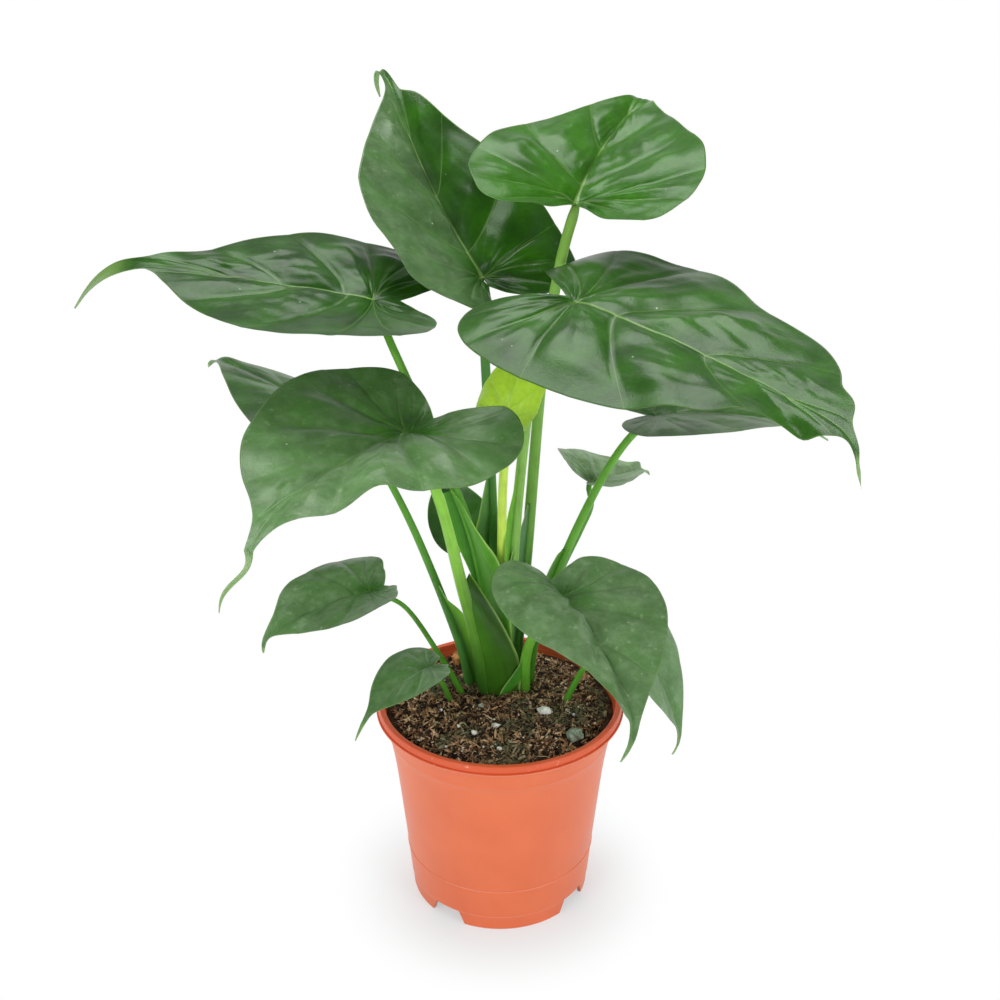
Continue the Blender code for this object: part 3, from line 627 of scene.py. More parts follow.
def grow_blade(name, blade, seed, materials):
    """The blade's grid: its rows run out along the side veins, from the midrib to the margin."""
    margins = [blade.margin(0), blade.margin(1)]
    size = blade.length / FULL_LENGTH

    def bump(value, width):
        """1 at a value of 0, and falling to nothing within about the width on both sides."""
        return math.exp(-(value / width) ** 2)

    def uneven(x, y, z=0.0):
        return noise.noise(Vector((x, y, z)))

    def ripple(u, v, part):
        """The margin's waves at u and v, summed: their rise is part 0 and their reach out part 1."""
        return sum(push[part] * bump(v - middle, width) * u * u
                   for side, middle, width, *push in blade.ripples if side * u > 0)

    @cache
    def flat_point(u, row):
        """The place on the flat blade, and where the row leaves the midrib."""
        across, along = margins[1 if u >= 0 else 0][row]
        reach = max((along / blade.length - FAN_END) / (1.0 - FAN_END), 0.0)
        root = blade.length * reach ** VEIN_LEAN
        here = Vector((across * abs(u), root + (along - root) * abs(u) ** VEIN_ARCH))
        outward = Vector((across, along - root)).normalized()
        return here + outward * ripple(u, row / BLADE_ROWS, 1), root

    @cache
    def facts(u, v):
        """The flat point, how far along its row starts, how far off the next vein is, the gap
        between its veins, how far off the margin is, how strong the veins are, and how far it is
        into the drip tip.
        """
        row = round(v * BLADE_ROWS)
        here, root = flat_point(u, row)
        low = min(row // ROWS_PER_VEIN, VEINS - 1) * ROWS_PER_VEIN
        high = low + ROWS_PER_VEIN
        near = low if row - low < high - row else high
        side = math.copysign(1.0, u)
        outer, inner = min(abs(u) + 0.03, 1.0) * side, max(abs(u) - 0.03, 0.0) * side
        run = (flat_point(outer, near)[0] - flat_point(inner, near)[0]).normalized()
        off = abs(run.cross(here - flat_point(u, near)[0]))
        gap = abs(run.cross(flat_point(u, high)[0] - flat_point(u, low)[0]))
        edge = (1.0 - abs(u)) * (flat_point(side, row)[0] - Vector((0.0, root))).length
        strength = ease(0.09, 0.17, v) * (1.0 - ease(0.84, 0.93, v))
        into_tip = ease(0.9 - blade.tail, 1.0 - blade.tail, here.y / blade.length)
        return here, root / blade.length, off, gap, edge, strength, into_tip

    def place(u, v):
        return blade.point(*facts(u, v)[0])

    def quilted(u, v):
        """How far the upper face stands off the smooth blade."""
        here, far, off, gap, _, strength, into_tip = facts(u, v)
        side, phase = math.copysign(1.0, u), v * VEINS
        # Pillows between the veins, no two alike, with creases along and across them.
        bank = 1.0 - (1.0 - min(abs(here.x) / (12.0 * size), 1.0)) ** 2
        pillow = (1.0 - (1.0 - min(2.0 * off / max(gap, 0.1), 1.0)) ** 2) * bank
        inside = 1.0 - 0.85 * ease(0.6, 1.0, abs(u))
        cell = 1.0 + 0.9 * uneven(math.floor(phase) * 3.7, side * 5.0, seed * 2.3)
        rise = 0.085 * cell * strength + 0.045 * uneven(phase * 3.1, abs(u) * 2.6, side * 4.0 + seed)
        rise = (rise + 0.03 * uneven(phase * 1.4, abs(u) * 11.0, side * 7.0 + seed)) * gap * pillow
        # Broad and fine swells over the whole blade, a wavy margin, and creases round the hub.
        drift_x, drift_y = seed * 17.3, seed * 5.1
        broad, fine = here / (30.0 * size), here / (11.0 * size)
        rise = rise * inside + 1.2 * size * uneven(broad.x + drift_x, broad.y + drift_y)
        rise += 0.5 * size * uneven(fine.x + drift_x, fine.y + drift_y) * inside
        rise += 2.2 * size * uneven(here.y / (34.0 * size), side * 3.0, seed) * abs(u) ** 3
        around = uneven(math.atan2(abs(here.x), here.y) * 5.0, side * 9.0 + seed, 0.02 * here.length / size)
        rise += 2.2 * size * around * bank * bump(here.length, 30.0 * size)
        # All of it fades at the hub, along the notch and in the drip tip.
        near_seam = ease(0.0, 8.0, here.length) * ease(0.0, 0.06, v) * (1.0 - into_tip)
        # Grooves over the midrib and the side veins, and a pit over the stalk.
        fading = (1.0 - 0.7 * far) * ease(-2.0, 8.0, here.y) * (1.0 - into_tip)
        groove = (0.5 - 0.85 * blade.midrib) * bump(here.x, 1.8 * size) * fading
        groove += 0.35 * bump(off, 0.8) * strength * inside * min(1.0, gap / 8.0)
        pit = 1.3 * size * bump(here.length, 4.0 * size)
        return (rise * near_seam - groove * ease(0.02, 0.1, v)) * blade.quilt - pit + ripple(u, v, 0)

    def thickness(u, v):
        """The tissue with its ribs, which taper outwards and end at the drip tip."""
        here, far, off, _, _, strength, into_tip = facts(u, v)
        rib = 2.3 * size * (1.0 - far) ** 0.8 + 0.3
        ridge = rib * math.exp(-(here.x / max(rib, 1.2)) ** 2 * 1.3) * ease(-6.0, 4.0, here.y)
        side_rib = 0.75 * size * bump(off, 0.9 * size) * strength * (1.0 - abs(u)) ** 0.6 * (1.0 - into_tip)
        return (TISSUE + ridge + side_rib) * (1.0 - abs(u) ** 24)

    def marks(u, v):
        """Distance from veins, midrib and margin in their own widths, and the finish's shares."""
        here, far, off, _, edge, strength, _ = facts(u, v)
        plain = 3.0 * ease(0.96 - blade.tail, 1.02 - blade.tail, here.y / blade.length)
        vein = off / ((0.85 - 0.55 * abs(u)) * size) + 6.0 * (1.0 - strength) + 0.4 * (1.0 - blade.midrib)
        rib = (abs(here.x) if here.y > 0 else here.length) / ((1.9 - 1.5 * far) * size)
        rib += 0.4 * far + 0.8 * (1.0 - blade.midrib)
        tip = 1.0 - (here.y / blade.length - 1.0 + blade.tail) / max(blade.tail, 0.05)
        # Each half has its own share of the film of wax and painted sheen. The film thins out at the hub,
        # which leaves the hub darker as painted shade.
        wax_film_and_sheen = blade.bloom_and_sheen[0] + (blade.bloom_and_sheen[1] - blade.bloom_and_sheen[0]) * ease(-8.0, 8.0, here.x)
        wax_film_and_sheen *= 0.15 + 0.85 * ease(3.0 * size, 38.0 * size, here.length)
        return {"vein": vein + plain, "rib": min(rib, 50.0) + plain, "edge": edge + plain, "tip": tip,
                "fresh": float(blade.fresh), "bloom_and_sheen": wax_film_and_sheen}

    def flat(u, v):
        here = facts(u, v)[0]
        return here.x * MM + 0.5, here.y * MM + 0.5

    def close_at_ends(u):
        """Columns lie closer together beside the midrib and at the margin."""
        return math.copysign(0.35 * abs(u) + 0.65 * (0.5 - 0.5 * math.cos(math.pi * abs(u))), u)

    leaf = closed_sheet(name, 2 * HALF_COLUMNS, BLADE_ROWS, close_at_ends, place, quilted, thickness, marks,
                        flat, materials)
    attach(leaf, "root")
    return leaf


def leaf_skin(name, old, bright, vein, gloss, through, patchy):
    """Leaf tissue under its cuticle. Veins, margin and drip tip are paler, and light comes through."""
    material, tree, shader = new_material(name)
    laid = add(tree, "UVMap", uv_map="laid_out")
    marks = {mark: add(tree, "Attribute", attribute_name=mark, out="Fac")
             for mark in ("vein", "rib", "edge", "tip", "fresh", "bloom_and_sheen")}
    # Old and bright tissue lie in clouds, with a fine mottle over both.
    tone = add(tree, "TexNoise", laid, Scale=1 / 0.026, Detail=4.0)
    tone = add(tree, "Math", tone, -0.5, operation="ADD")
    tone = add(tree, "Math", tone, 1.6, marks["fresh"], operation="MULTIPLY_ADD", use_clamp=True)
    green = add(tree, "Mix", tone, old, bright, **COLOUR)
    mottle = add(tree, "TexNoise", laid, Scale=1 / 0.0035, Detail=5.0, Roughness=0.6)
    patches = add(tree, "MapRange", mottle, 0.3, 0.7, 1.0 - patchy, 1.0 + 0.85 * patchy, **SMOOTH)
    green = add(tree, "Mix", 1.0, green, patches, blend_type="MULTIPLY", **COLOUR)
    for mark, full, gone, most in (("tip", 0.7, 1.1, 0.6), ("vein", 0.15, 1.0, 0.36),
                                   ("rib", 0.4, 1.1, 0.68), ("edge", 0.3, 0.9, 0.42)):
        pale = add(tree, "MapRange", marks[mark], full, gone, most, 0.0, **SMOOTH)
        green = add(tree, "Mix", pale, green, vein, **COLOUR)
    # A film of wax and hard water, in blots and small spots. The same pale film is also a painted
    # sheen, a veil where the leaf would reflect the lamps and its white surround.
    wax_film_and_sheen = add(tree, "TexNoise", laid, Scale=1 / 0.012, Detail=6.0, Roughness=0.68)
    wax_film_and_sheen = add(tree, "MapRange", wax_film_and_sheen, 0.38, 0.72, **SMOOTH)
    wax_film_and_sheen = add(tree, "Math", wax_film_and_sheen, 0.46, 0.42, operation="MULTIPLY_ADD")
    spots = add(tree, "TexNoise", laid, Scale=1 / 0.0055, Detail=3.0)
    spots = add(tree, "MapRange", spots, 0.6, 0.72, 0.0, 0.45, **SMOOTH)
    wax_film_and_sheen = add(tree, "Math", spots, wax_film_and_sheen, operation="ADD")
    wax_film_and_sheen = add(tree, "Math", wax_film_and_sheen, marks["bloom_and_sheen"], operation="MULTIPLY", use_clamp=True)
    green = add(tree, "Mix", wax_film_and_sheen, green, "#9BB98C", **COLOUR)
    # Grains of dust, in a few of the cells that a Voronoi pattern makes.
    dust = add(tree, "TexVoronoi", laid, Scale=1 / 0.009)
    chosen = add(tree, "SeparateColor", dust.node.outputs["Color"])
    chosen = add(tree, "MapRange", chosen, 0.8, 0.86, **SMOOTH)
    fleck = add(tree, "MapRange", dust, 0.035, 0.075, 1.0, 0.0, **SMOOTH)
    fleck = add(tree, "Math", fleck, chosen, operation="MULTIPLY")
    green = add(tree, "Mix", fleck, green, "#C9D6C0", **COLOUR)
    rough = add(tree, "Math", wax_film_and_sheen, 0.12, gloss, operation="MULTIPLY_ADD")
    # A net of the finest veins under the mottled skin.
    net = add(tree, "TexVoronoi", laid, Scale=1 / 0.0028, feature="DISTANCE_TO_EDGE")
    net = add(tree, "MapRange", net, 0.0, 0.14, **SMOOTH)
    net = add(tree, "Bump", Height=net, Strength=0.12, Distance=0.0003)
    skin = add(tree, "Bump", Height=mottle, Strength=0.2, Distance=0.0005, Normal=net)
    feed(shader, Base_Color=green, Roughness=rough, Normal=skin, IOR=1.41)
    glow = add(tree, "BsdfTranslucent", through)
    both = add(tree, "MixShader", 0.1, shader.outputs["BSDF"], glow)
    feed(tree.nodes["Material Output"], Surface=both)
    return material


# Waxed cuticle over deep green above, and a duller, paler underside with raised veins.
LEAF = [leaf_skin("leaf_cuticle", "#1C4508", "#387806", "#86AE58", 0.295, "#5FA010", 0.14),
        leaf_skin("leaf_underside", "#567F45", "#74A24A", "#A9C886", 0.45, "#7FBE2E", 0.14)]
# The same tissue while it is young: soft, lime green and more even.
YOUNG_LEAF = [leaf_skin("young_cuticle", "#A8D630", "#BCE23C", "#E2F49C", 0.3, "#BCE62E", 0.07),
              leaf_skin("young_underside", "#AED642", "#C0E058", "#E2F2A8", 0.45, "#BCE62E", 0.04)]

# The leaves from the top down. Left and right, front and rear are as seen from the front.
BLADES = {
    "top_left": Blade(
        hub=(-11, 53, 429), heading=131, pitch=39, roll=-7, length=203, half_width=75, droop=(-6, 36, 140),
        sweep=(-25, 14, -10), twist=-4, fold=(29, 32), curl=(2, 51), lobe=-31, tail=0.13, waist=0.03,
        sides=(1.10, 0.90), back=0.72, web=0.04, ripples=[(1, 0.79, 0.025, 0, -3), (1, 0.71, 0.04, 0, 6),
        (-1, 0.55, 0.03, 1, 2), (-1, 0.66, 0.03, -2, -2), (-1, 0.44, 0.04, 2, -1)], fresh=0.32,
        bloom_and_sheen=(0.42, 0.02), quilt=0.95, midrib=0.75),
    "top_right": Blade(
        hub=(46, 28, 482), heading=77, pitch=18, roll=9, length=175, half_width=73, droop=(0, 64, 0),
        sweep=(-22, 34, 0), twist=-5, fold=(23, 21), curl=(24, -2), lobe=-14, tail=0.06, sides=(0.96, 1.07),
        back=0.75, web=0.01, ripples=[(-1, 0.60, 0.06, -2, -8), (-1, 0.48, 0.04, 3, -2),
        (1, 0.5, 0.05, 2, 2), (-1, 0.25, 0.06, -3, 4), (-1, 0.15, 0.04, 2, -3), (1, 0.25, 0.05, -2, 2),
        (1, 0.66, 0.04, -3, 0), (-1, 0.8, 0.05, -1, 2), (1, 0.78, 0.05, -2, -1)], fresh=0.75,
        bloom_and_sheen=(0.04, 0.04), quilt=1.15, midrib=1.0),
    "left": Blade(
        hub=(-75, -10, 433), heading=178, pitch=7, roll=-16, length=200, half_width=76, droop=(-3, 61, 0),
        sweep=(-10, 0, 0), twist=-18, fold=(4, 3), curl=(-23, 19), lobe=-8, tail=0.25, waist=0.062,
        sides=(1.12, 0.97), back=0.80, web=0.08, broad=(0.1, 0.35), ripples=[(1, 0.66, 0.06, -7, -4),
        (1, 0.56, 0.05, -3, 0), (-1, 0.22, 0.06, 0, -8), (-1, 0.45, 0.06, 2, 0)], fresh=0.22,
        bloom_and_sheen=(0.04, 0.02), midrib=0.5),
    "right": Blade(
        hub=(43, -45, 442), heading=-40, pitch=-8, roll=4, length=237, half_width=80, droop=(0, 3, 0),
        sweep=(-20, -57, 20), twist=7, fold=(2, -6), curl=(4, 15), lobe=25, tail=0.12, waist=0.013,
        sides=(1.11, 0.93), back=0.75, web=0.03, broad=(0.3, 0.3), ripples=[(-1, 0.55, 0.05, 0, -10),
        (-1, 0.69, 0.02, 0, -3), (-1, 0.8, 0.06, 0, -6), (1, 0.6, 0.03, 5, -3), (1, 0.66, 0.035, 9, -5),
        (1, 0.72, 0.02, -5, 0), (1, 0.82, 0.05, 2, -4)], fresh=0.38, bloom_and_sheen=(0.1, 0.06), quilt=1.1,
        midrib=0.65),
    "mid_left": Blade(
        hub=(-52, -70, 371), heading=230, pitch=3, roll=5, length=197, half_width=76, droop=(13, 13, 0),
        sweep=(33, 13, -24), tail_wave=-2.5, twist=-4, fold=(4, 11), curl=(28, -19), lobe=-55, tail=0.2,
        waist=0.018, sides=(0.94, 1.01), back=0.77, web=0.107, broad=(0.1, 0.1),
        ripples=[(-1, 0.5, 0.05, -3, 0), (-1, 0.61, 0.03, 7, -3), (-1, 0.67, 0.03, -3, 1),
        (1, 0.72, 0.09, 0, -5), (1, 0.53, 0.06, 0, -3)], fresh=0.55, bloom_and_sheen=(0.5, 0.42), quilt=0.95,
        midrib=0.3),
    "rear_left": Blade(
        hub=(-102, 40, 333), heading=145, pitch=17, roll=11, length=144, half_width=60, droop=(15, 37, 0),
        sweep=(-4, -21, 0), fold=(7, 6), curl=(29, 37), lobe=-5, tail=0.05, ripples=[(1, 0.77, 0.05, 2, 3)],
        fresh=0.2, quilt=0.4),
    "rear_right": Blade(
        hub=(100, 20, 348), heading=7, pitch=3, length=121, half_width=51, droop=(25, 11, 0), fold=(10, 10),
        curl=(22, 16), lobe=-10, back=0.9, ripples=[(-1, 0.28, 0.14, 0, -9), (1, 0.18, 0.08, 0, -5),
        (1, 0.42, 0.1, 3, 0)], fresh=0.3, bloom_and_sheen=(0.25, 0.25), quilt=0.5),
    "small_rear_right": Blade(
        hub=(62, 50, 289), heading=47, pitch=-8, roll=18, length=74, half_width=32, droop=(5, 25, 0),
        sweep=(0, 20, 0), twist=-20, fold=(26, 23), curl=(34, -17), lobe=-28, sides=(1.07, 0.96),
        ripples=[(-1, 0.735, 0.03, 3, 3)], fresh=0.3, bloom_and_sheen=(1.3, 1.3), quilt=0.8),
    "small_rear_centre": Blade(
        hub=(-27, 62, 241), heading=111, pitch=44, roll=10, length=65, half_width=28, droop=(21, 18, 0),
        sweep=(-6, 0, 0), twist=-8, fold=(25, 23), curl=(15, 9), lobe=-15, fresh=0.3, quilt=0.5),
    "front_right": Blade(
        hub=(39, -50, 254), heading=299, pitch=-10, roll=-23, length=134, half_width=55, droop=(18, -10, 0),
        sweep=(-18, -45, 0), twist=12, fold=(22, 26), curl=(-4, 81), lobe=-13, tail=0.12,
        sides=(1.08, 0.96), back=0.76, web=0.12, ripples=[(1, 0.66, 0.035, 0, -4), (1, 0.75, 0.03, 0, 4),
        (1, 0.83, 0.04, 0, 1)], fresh=0.6, bloom_and_sheen=(0.78, 0.78), quilt=1.2, midrib=0.4),
    "low_right": Blade(
        hub=(92, -20, 205), heading=326, pitch=-54, roll=-8, length=88, half_width=37, droop=(19, 42, 0),
        fold=(17, 18), curl=(24, 22), lobe=-5, tail=0.12, fresh=0.8, bloom_and_sheen=(0.65, 0.65), quilt=0.5),
    "small_left": Blade(
        hub=(-83, -30, 247), heading=203, pitch=-5, roll=-7, length=83, half_width=39, droop=(20, 60, 0),
        twist=-25, fold=(14, 16), curl=(-16, 38), lobe=-30, tail=0.06, sides=(1.07, 1.07), back=0.83,
        web=0.12, ripples=[(-1, 0.24, 0.08, 0, -8), (1, 0.36, 0.08, 2, 2), (1, 0.62, 0.06, 0, 4),
        (1, 0.18, 0.05, 0, -3)], fresh=0.58, bloom_and_sheen=(0.62, 0.62), quilt=0.95, midrib=0.3),
    "low_left": Blade(
        hub=(-45, -50, 203), heading=204, pitch=-10, roll=8, length=68, half_width=30, droop=(42, 6, 0),
        sweep=(22, 0, 0), twist=-20, fold=(2, 1), curl=(-7, 0), lobe=13, tail=0.2, waist=0.03,
        sides=(0.95, 1.10), back=0.75, ripples=[(-1, 0.25, 0.1, 0, -9), (1, 0.22, 0.08, 0, -6),
        (1, 0.82, 0.06, 0, 2)], fresh=0.6, bloom_and_sheen=(0.52, 0.52), quilt=0.6, midrib=0.2),
    "young": Blade(
        hub=(3, -26, 364), heading=52, pitch=58, length=58, half_width=27, droop=(8, 5, 0), sweep=(8, 0, 0),
        twist=12, fold=(9, 16), curl=(40, -10), lobe=-5, tail=0.06, sides=(1.00, 1.06), back=0.8,
        ripples=[(1, 0.6, 0.12, 0, 5)], fresh=0.6, bloom_and_sheen=(0.0, 0.0), quilt=1.2, midrib=0.8),
}

for seed, (name, blade) in enumerate(BLADES.items(), start=1):
    leaf = grow_blade("blade_" + name, blade, seed, YOUNG_LEAF if name == "young" else LEAF)
    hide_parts("leaf_" + name)

# --- Leaf stalks ----------------------------------------------------------------------------------
# Round fleshy stalks, a little flattened, that run on under the blade as its midrib. They are
# smooth and waxy, streaked lengthwise, darker at the foot and yellower towards the blade.

STALK_COLUMNS = 20
STALK_ROWS = 70
FOOT = 144.0  # height where the middle stalks leave the corm, under the loose mix
RUN_ON = 13.0  # how far a stalk runs on under its blade

# Living stalk: a thin waxy skin over juicy tissue, with faint lengthwise streaks.
stalk_skin, tree, shader = new_material("stalk_skin")
laid = add(tree, "UVMap", uv_map="laid_out")
stretch = add(tree, "Mapping", laid, Scale=(1 / 0.0011, 1 / 0.045, 1.0))
streak = add(tree, "TexNoise", stretch, Scale=1.0, Detail=4.0)
cloud = add(tree, "TexNoise", laid, Scale=1 / 0.012, Detail=3.0)
tone = add(tree, "Math", streak, cloud, operation="ADD")
tone = add(tree, "MapRange", tone, 0.65, 1.35, 0.84, 1.2)
own = add(tree, "Attribute", attribute_name="tint")
green = add(tree, "Mix", 1.0, own, tone, blend_type="MULTIPLY", **COLOUR)
bump = add(tree, "Bump", Height=streak, Strength=0.3, Distance=0.0003)
feed(shader, Base_Color=green, Normal=bump, Roughness=0.38, IOR=1.42, Specular_IOR_Level=0.4,
     Subsurface_Weight=0.25, Subsurface_Radius=(0.6, 1.0, 0.15), Subsurface_Scale=0.002)


def grow_stalk(name, blade, foot_radius, head_radius, foot_green, head_green, route):
    """A tapered tube up its route, under the blade's hub and on along its midrib."""
    _, _, _, up = blade.station(0.0)
    centre, _, _, up_ahead = blade.station(RUN_ON / blade.length)
    under = blade.hub - up * (2.4 + 0.9 * head_radius)
    run_on = blade.hub + centre - up_ahead * (1.6 + 0.4 * head_radius)
    path = [Vector(point) for point in smooth_path([*route, under, run_on], STALK_ROWS + 1)]
    tangents = [(path[min(row + 1, STALK_ROWS)] - path[max(row - 1, 0)]).normalized()
                for row in range(STALK_ROWS + 1)]
    side = tangents[0].cross(Vector((0, 1, 0))).normalized()
    sides = []
    for before, tangent in zip([tangents[0], *tangents], tangents):
        side.rotate(before.rotation_difference(tangent))
        sides.append(side.copy())
    travelled = [0.0]
    for near, far in zip(path, path[1:]):
        travelled.append(travelled[-1] + (far - near).length)
    foot_tint, head_tint = Vector(linear(foot_green)), Vector(linear(head_green))
    shape = bmesh.new()
    tint = shape.verts.layers.float_color.new("tint")
    laid = shape.loops.layers.uv.new("laid_out")
    bmesh.ops.create_grid(shape, x_segments=STALK_COLUMNS, y_segments=STALK_ROWS, size=1.0)
    grid = {vert: (vert.co.x, round((0.5 + 0.5 * vert.co.y) * STALK_ROWS)) for vert in shape.verts}
    for face in shape.faces:
        for loop in face.loops:
            u, row = grid[loop.vert]
            loop[laid].uv = (u * math.pi * foot_radius * MM + 0.5, travelled[row] * MM)
    for vert, (u, row) in grid.items():
        # It thins towards the blade and to a point under it, and is a little flat and fluted.
        share = travelled[row] / travelled[-1]
        turn = u * math.pi
        radius = head_radius + (foot_radius - head_radius) * (1.0 - min(share / 0.92, 1.0)) ** 1.5
        radius *= 1.0 - 0.75 * ease(0.94, 1.0, share)
        radius *= 1.0 + 0.05 * math.cos(2 * turn + 0.6) + 0.02 * math.sin(5 * turn)
        across = sides[row] * math.cos(turn) + tangents[row].cross(sides[row]) * math.sin(turn)
        vert.co = (path[row] + across * radius) * MM + POT_AXIS
        vert[tint] = foot_tint.lerp(head_tint, ease(0.0, 0.75, share))
    bmesh.ops.remove_doubles(shape, verts=shape.verts, dist=0.01 * MM)
    bmesh.ops.holes_fill(shape, edges=[edge for edge in shape.edges if edge.is_boundary])
    bmesh.ops.recalc_face_normals(shape, faces=shape.faces)
    stalk = finished(name, shape, stalk_skin)
    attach(stalk, "root")
    return stalk


# Each stalk's foot and head radius, the green at its foot and at its head, and its route.
STALKS = {
    "top_left": (4.0, 2.9, "#4A7F3C", "#5E9848", [(-6, 27, FOOT), (-5, 28, 180), (-4, 31, 230),
        (-6, 36, 300), (-10, 45, 384)]),
    "top_right": (4.2, 3.2, "#447E22", "#8FC055", [(9, 19, FOOT), (13, 20, 192), (18, 23, 248),
        (27, 30, 373), (37, 32, 441)]),
    "left": (4.5, 2.4, "#3F8526", "#6FAE36", [(-8, 15.5, FOOT), (-9, 14, 190), (-18, 11, 264),
        (-44, 6, 341), (-66, 0, 400)]),
    "right": (4.0, 2.9, "#6BA23A", "#9CC864", [(2, 12, FOOT), (6, 8, 200), (11, 5, 287), (18, 5, 360),
        (25, 2, 402), (35, -24, 432)]),
    "mid_left": (5.0, 3.1, "#3A7020", "#96CE4C", [(-9, 4, FOOT), (-15, -8, 196), (-24, -25, 246),
        (-37, -50, 321)]),
    "rear_left": (3.3, 2.2, "#4D8A36", "#5FA030", [(-19, 9, FOOT), (-29, 14, 187), (-59, 27, 266),
        (-86, 36, 317)]),
    "rear_right": (3.6, 2.4, "#4A8C24", "#6FAE3C", [(19.5, 16, FOOT), (24, 16, 185), (42, 17, 245),
        (66, 18, 303), (85, 19, 334)]),
    "small_rear_right": (2.8, 1.8, "#3F7A24", "#5F9A38", [(12, 29, FOOT), (25, 35, 174), (40, 40, 220),
        (55, 44, 254), (62, 46, 272)]),
    "small_rear_centre": (2.5, 1.8, "#3F7A24", "#5F9A38", [(1, 31, FOOT), (-6, 41, 180), (-20, 55, 222)]),
    "front_right": (4.4, 2.2, "#5FA22E", "#7AB33F", [(16, 6, FOOT), (18, -10, 190), (28, -34, 230)]),
    "low_right": (2.2, 1.7, "#4F9428", "#62A232", [(41, -5, FOOT - 6), (57, -11, 179), (78, -17, 202)]),
    "small_left": (2.2, 1.5, "#4F9428", "#62A232", [(-20, 4, FOOT - 8), (-40, -6, 184), (-62, -20, 230)]),
    "low_left": (2.0, 1.5, "#4F9428", "#62A232", [(-31, -1, FOOT - 6), (-38, -22, 172), (-43, -42, 194)]),
    "young": (3.4, 2.7, "#B4D84C", "#D6F062", [(0, 21, FOOT), (0, 15, 200), (1, 4, 260), (2, -11, 315)]),
}
for name, facts in STALKS.items():
    stalk = grow_stalk("petiole_" + name, BLADES[name], *facts)
    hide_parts("stalk_" + name)

# --- Sheaths --------------------------------------------------------------------------------------
# Low down, a grown stalk opens into thin wings that wrap the younger stalks; the left stalk has two
# here and the others one. A wing grows from the flank of its stalk and ends in a pale, papery margin.

WING_COLUMNS = 12
WING_ROWS = 40
ROUTE_POINTS = 200  # on a stalk, of which the one at its own height is the root of each row
WING_DEPTH = 1.9  # at the stalk
PAPERY = "#BFDC80"


def grow_wing(name, stalk, top, bottom, bulge, near_green_and_shade, far_green, margin):
    """A wing between a stalk, from one height down to another, and the curve of its free margin.

    bulge is how far its middle bows towards the front.
    """
    *_, route = STALKS[stalk]
    route = [Vector(point) for point in smooth_path(route, ROUTE_POINTS)]
    held = [Vector(point) for point in smooth_path(margin, WING_ROWS + 1)]
    heights = [top + (bottom - top) * row / WING_ROWS for row in range(WING_ROWS + 1)]
    roots = [min(route, key=lambda point: abs(point.z - height)) for height in heights]
    near_tint_and_shade, far_tint, pale = [Vector(linear(code)) for code in (near_green_and_shade, far_green, PAPERY)]

    def place(share, v):
        start, end = roots[round(v * WING_ROWS)], held[round(v * WING_ROWS)]
        bow = bulge * 4.0 * share * (1.0 - share) * min(1.0, (end - start).length / 12.0)
        return start.lerp(end, share) + Vector((0.0, -bow, 0.0))

    def depth(share, v):
        return (WING_DEPTH - 1.4 * share) * (1.0 - share ** 8) + 0.02

    def marks(share, v):
        tint = near_tint_and_shade.lerp(far_tint, ease(0.1, 0.8, share))
        return {"tint": tint.lerp(pale, ease(0.95, 0.99, share) * 0.7)}

    def flat(share, v):
        return 0.016 * (share - 0.5) + 0.5, v * (top - bottom) * MM

    wing = closed_sheet(name, WING_COLUMNS, WING_ROWS, lambda u: 0.5 + 0.5 * u, place, lambda share, v: 0.0,
                        depth, marks, flat, [stalk_skin, stalk_skin])
    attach(wing, "root")


# Each wing's stalk, its top and bottom on it, bulge, the green at the stalk and beyond, and margin.
WINGS = {
    "sheath_left": ("left", 305, 160, 2.0, "#4A8A20", "#5C9C2C", [(-31, 4, 302), (-25, 2, 294),
        (-17.5, 0, 280), (-9.7, -2, 268), (-1, -4, 255), (5, -5, 232), (8, -5, 200), (8, -4, 170)]),
    "sheath_left_rear": ("left", 302, 190, 1.0, "#3F7F1C", "#4A8A22", [(-37, 8, 298), (-35, 8, 290),
        (-30, 8, 266), (-25.5, 8, 254), (-22.5, 8, 247), (-18, 8, 235), (-12, 9, 215), (-9, 10, 190)]),
    "sheath_mid_left": ("mid_left", 251, 148, 5.0, "#447A1C", "#365F14", [(-20, -13, 251), (-17, -12, 246),
        (-7, -11, 228), (1, -9, 212), (8.7, -7, 194), (12.8, -5, 181), (14, -4, 164), (13, -3, 146)]),
    # Painted shade: this wing is dark beside its stalk, where its hollow lies in shade, and bright at its
    # margin.
    "sheath_rear_left": ("rear_left", 226, 148, -4.0, "#2C5E12", "#6FB026", [(-41, 15, 227), (-36, 8, 221),
        (-25, 4, 212), (-17, 3, 196), (-12, 2, 180), (-8, 1, 146)]),
    "sheath_top_right": ("top_right", 284, 160, 1.5, "#3A7430", "#33701C", [(18.5, 17, 286), (16, 10, 281),
        (11, 3, 267), (6.5, 0, 252), (5, -1, 235), (5, -1, 200), (5, 0, 160)]),
    "sheath_front_right": ("front_right", 190, 146, 2.5, "#4F962A", "#3F8226", [(17, -8, 188),
        (13, -8, 179), (8, -9, 171), (2, -10, 162), (-4, -10, 148)]),
    "sheath_right": ("right", 325, 200, 1.0, "#4C8C26", "#6FAE30", [(13, 2, 324), (8, 0, 300), (4, -1, 280),
        (3, -1, 255), (3, 1, 200)]),
    "sheath_rear_right": ("rear_right", 252, 150, -1.5, "#3C7A12", "#4F8E1E", [(41, 10, 256), (37, 8, 252),
        (30, 7, 236), (24, 6, 210), (20, 6, 150)]),
    "sheath_top_left": ("top_left", 300, 147, -2.0, "#4A8036", "#6FA654", [(-8, 30, 302), (-10, 27, 296),
        (-14, 24, 275), (-17, 22, 255), (-18, 20, 180), (-14, 19, 147)]),
}
for name, facts in WINGS.items():
    grow_wing(name, *facts)

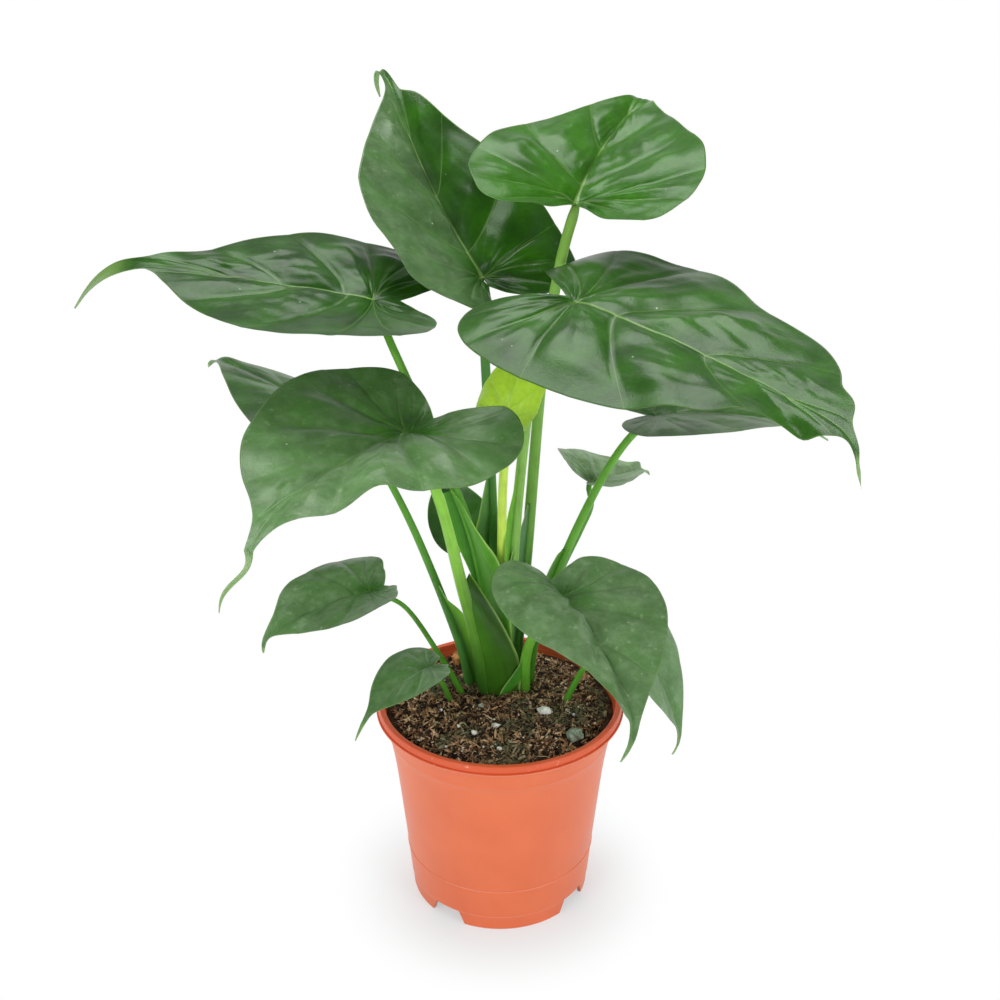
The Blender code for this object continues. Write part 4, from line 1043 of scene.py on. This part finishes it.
# --- Room -----------------------------------------------------------------------------------------
# A white sweep of paper and a white backdrop, in a studio that is dim above and in front. A soft
# lamp hangs overhead, a little behind the plant, and one stands on either side in front. The
# camera looks down on the plant from the front.

FLOOR_NEAR = 0.055  # distance from the pot's axis at which the paper's shade starts to go, in metres
FLOOR_CLEAR = 0.135  # and at which it shows no more
FLOOR_SHADE = 0.55  # how much of the paper's own shading shows close to the pot


def seen_rays(tree):
    """1 for the rays that show the surround itself: to the camera, by a reflection or through glass."""
    rays = [add(tree, "LightPath", out=f"Is {kind} Ray") for kind in ("Camera", "Glossy", "Transmission")]
    seen = add(tree, "Math", rays[0], rays[1], operation="MAXIMUM")
    return add(tree, "Math", seen, rays[2], operation="MAXIMUM")


# Matt white paper, which shows plain white but for the pot's shadow. Its pale cyan tint is painted
# light: it cancels the pink that light bounced off the pot casts into that shadow.
paper, tree, shader = new_material("white_paper")
feed(shader, Base_Color="#EAF7FB", Roughness=0.9, Specular_IOR_Level=0.0)
away = add(tree, "Mapping", add(tree, "TexCoord", out="Object"), Location=-POT_AXIS, vector_type="POINT")
away = add(tree, "VectorMath", away, operation="LENGTH")
shade = add(tree, "MapRange", away, FLOOR_NEAR, FLOOR_CLEAR, FLOOR_SHADE, 0.0,
            interpolation_type="SMOOTHERSTEP")
plain = add(tree, "Math", 1.0, shade, operation="SUBTRACT")
plain = add(tree, "Math", plain, seen_rays(tree), operation="MULTIPLY")
mixed = add(tree, "MixShader", plain, shader.outputs["BSDF"], add(tree, "Emission", "#FFFFFF", 1.0))
feed(tree.nodes["Material Output"], Surface=mixed)
shape = bmesh.new()
bmesh.ops.create_grid(shape, x_segments=1, y_segments=1, size=60.0)
floor = finished("floor", shape, paper)

world = bpy.data.worlds.new("white_surround")
bpy.context.scene.world = world
world.use_nodes = True
tree = world.node_tree
way = add(tree, "SeparateXYZ", add(tree, "TexCoord", out="Generated")).node.outputs
backdrop = add(tree, "MapRange", way["Y"], -0.35, 0.45, 0.2, 1.0, **SMOOTH)
ceiling = add(tree, "MapRange", way["Z"], 0.15, 0.5, 1.0, 0.14, **SMOOTH)
studio = add(tree, "Math", backdrop, ceiling, operation="MULTIPLY")
strength = add(tree, "MapRange", seen_rays(tree), 0.0, 1.0, 0.6, 1.0)
strength = add(tree, "Mix", add(tree, "LightPath", out="Is Glossy Ray"), strength, studio, data_type="FLOAT")
feed(tree.nodes["Background"], Strength=strength, Color="#FFFFFF")


def soft_lamp(name, place, target, size, radiance):
    """A square soft lamp, as bright as radiance where a white backdrop is 1."""
    lamp = bpy.data.lights.new(name, "AREA")
    lamp.shape = "SQUARE"
    lamp.size = size
    lamp.energy = radiance * size * size * math.pi
    holder = bpy.data.objects.new(name, lamp)
    holder.location = place
    holder.rotation_euler = (Vector(target) - Vector(place)).to_track_quat("-Z", "Y").to_euler()
    bpy.context.scene.collection.objects.link(holder)


soft_lamp("overhead", (-0.15, 0.6, 2.0), (0.0, 0.0, 0.3), 1.2, 4.8)
soft_lamp("front_left", (-1.35, -1.5, 1.15), (0.0, 0.0, 0.25), 0.9, 5.2)
soft_lamp("front_right", (1.45, -1.3, 0.95), (0.0, 0.0, 0.25), 0.8, 5.6)

CAMERA_BACK = 785.0  # from the pot's axis
CAMERA_HEIGHT = 648.0
CAMERA_PITCH = 24.1  # degrees below level
lens = bpy.data.cameras.new("camera")
lens.sensor_width = 36.0
lens.lens = 48.17
lens.clip_end = 50.0
camera = bpy.data.objects.new("camera", lens)
camera.location = POT_AXIS + Vector((0.0, -CAMERA_BACK, CAMERA_HEIGHT)) * MM
camera.rotation_euler = (math.radians(90.0 - CAMERA_PITCH), 0.0, 0.0)
bpy.context.scene.collection.objects.link(camera)
bpy.context.scene.camera = camera
bpy.context.scene.view_settings.view_transform = "Standard"
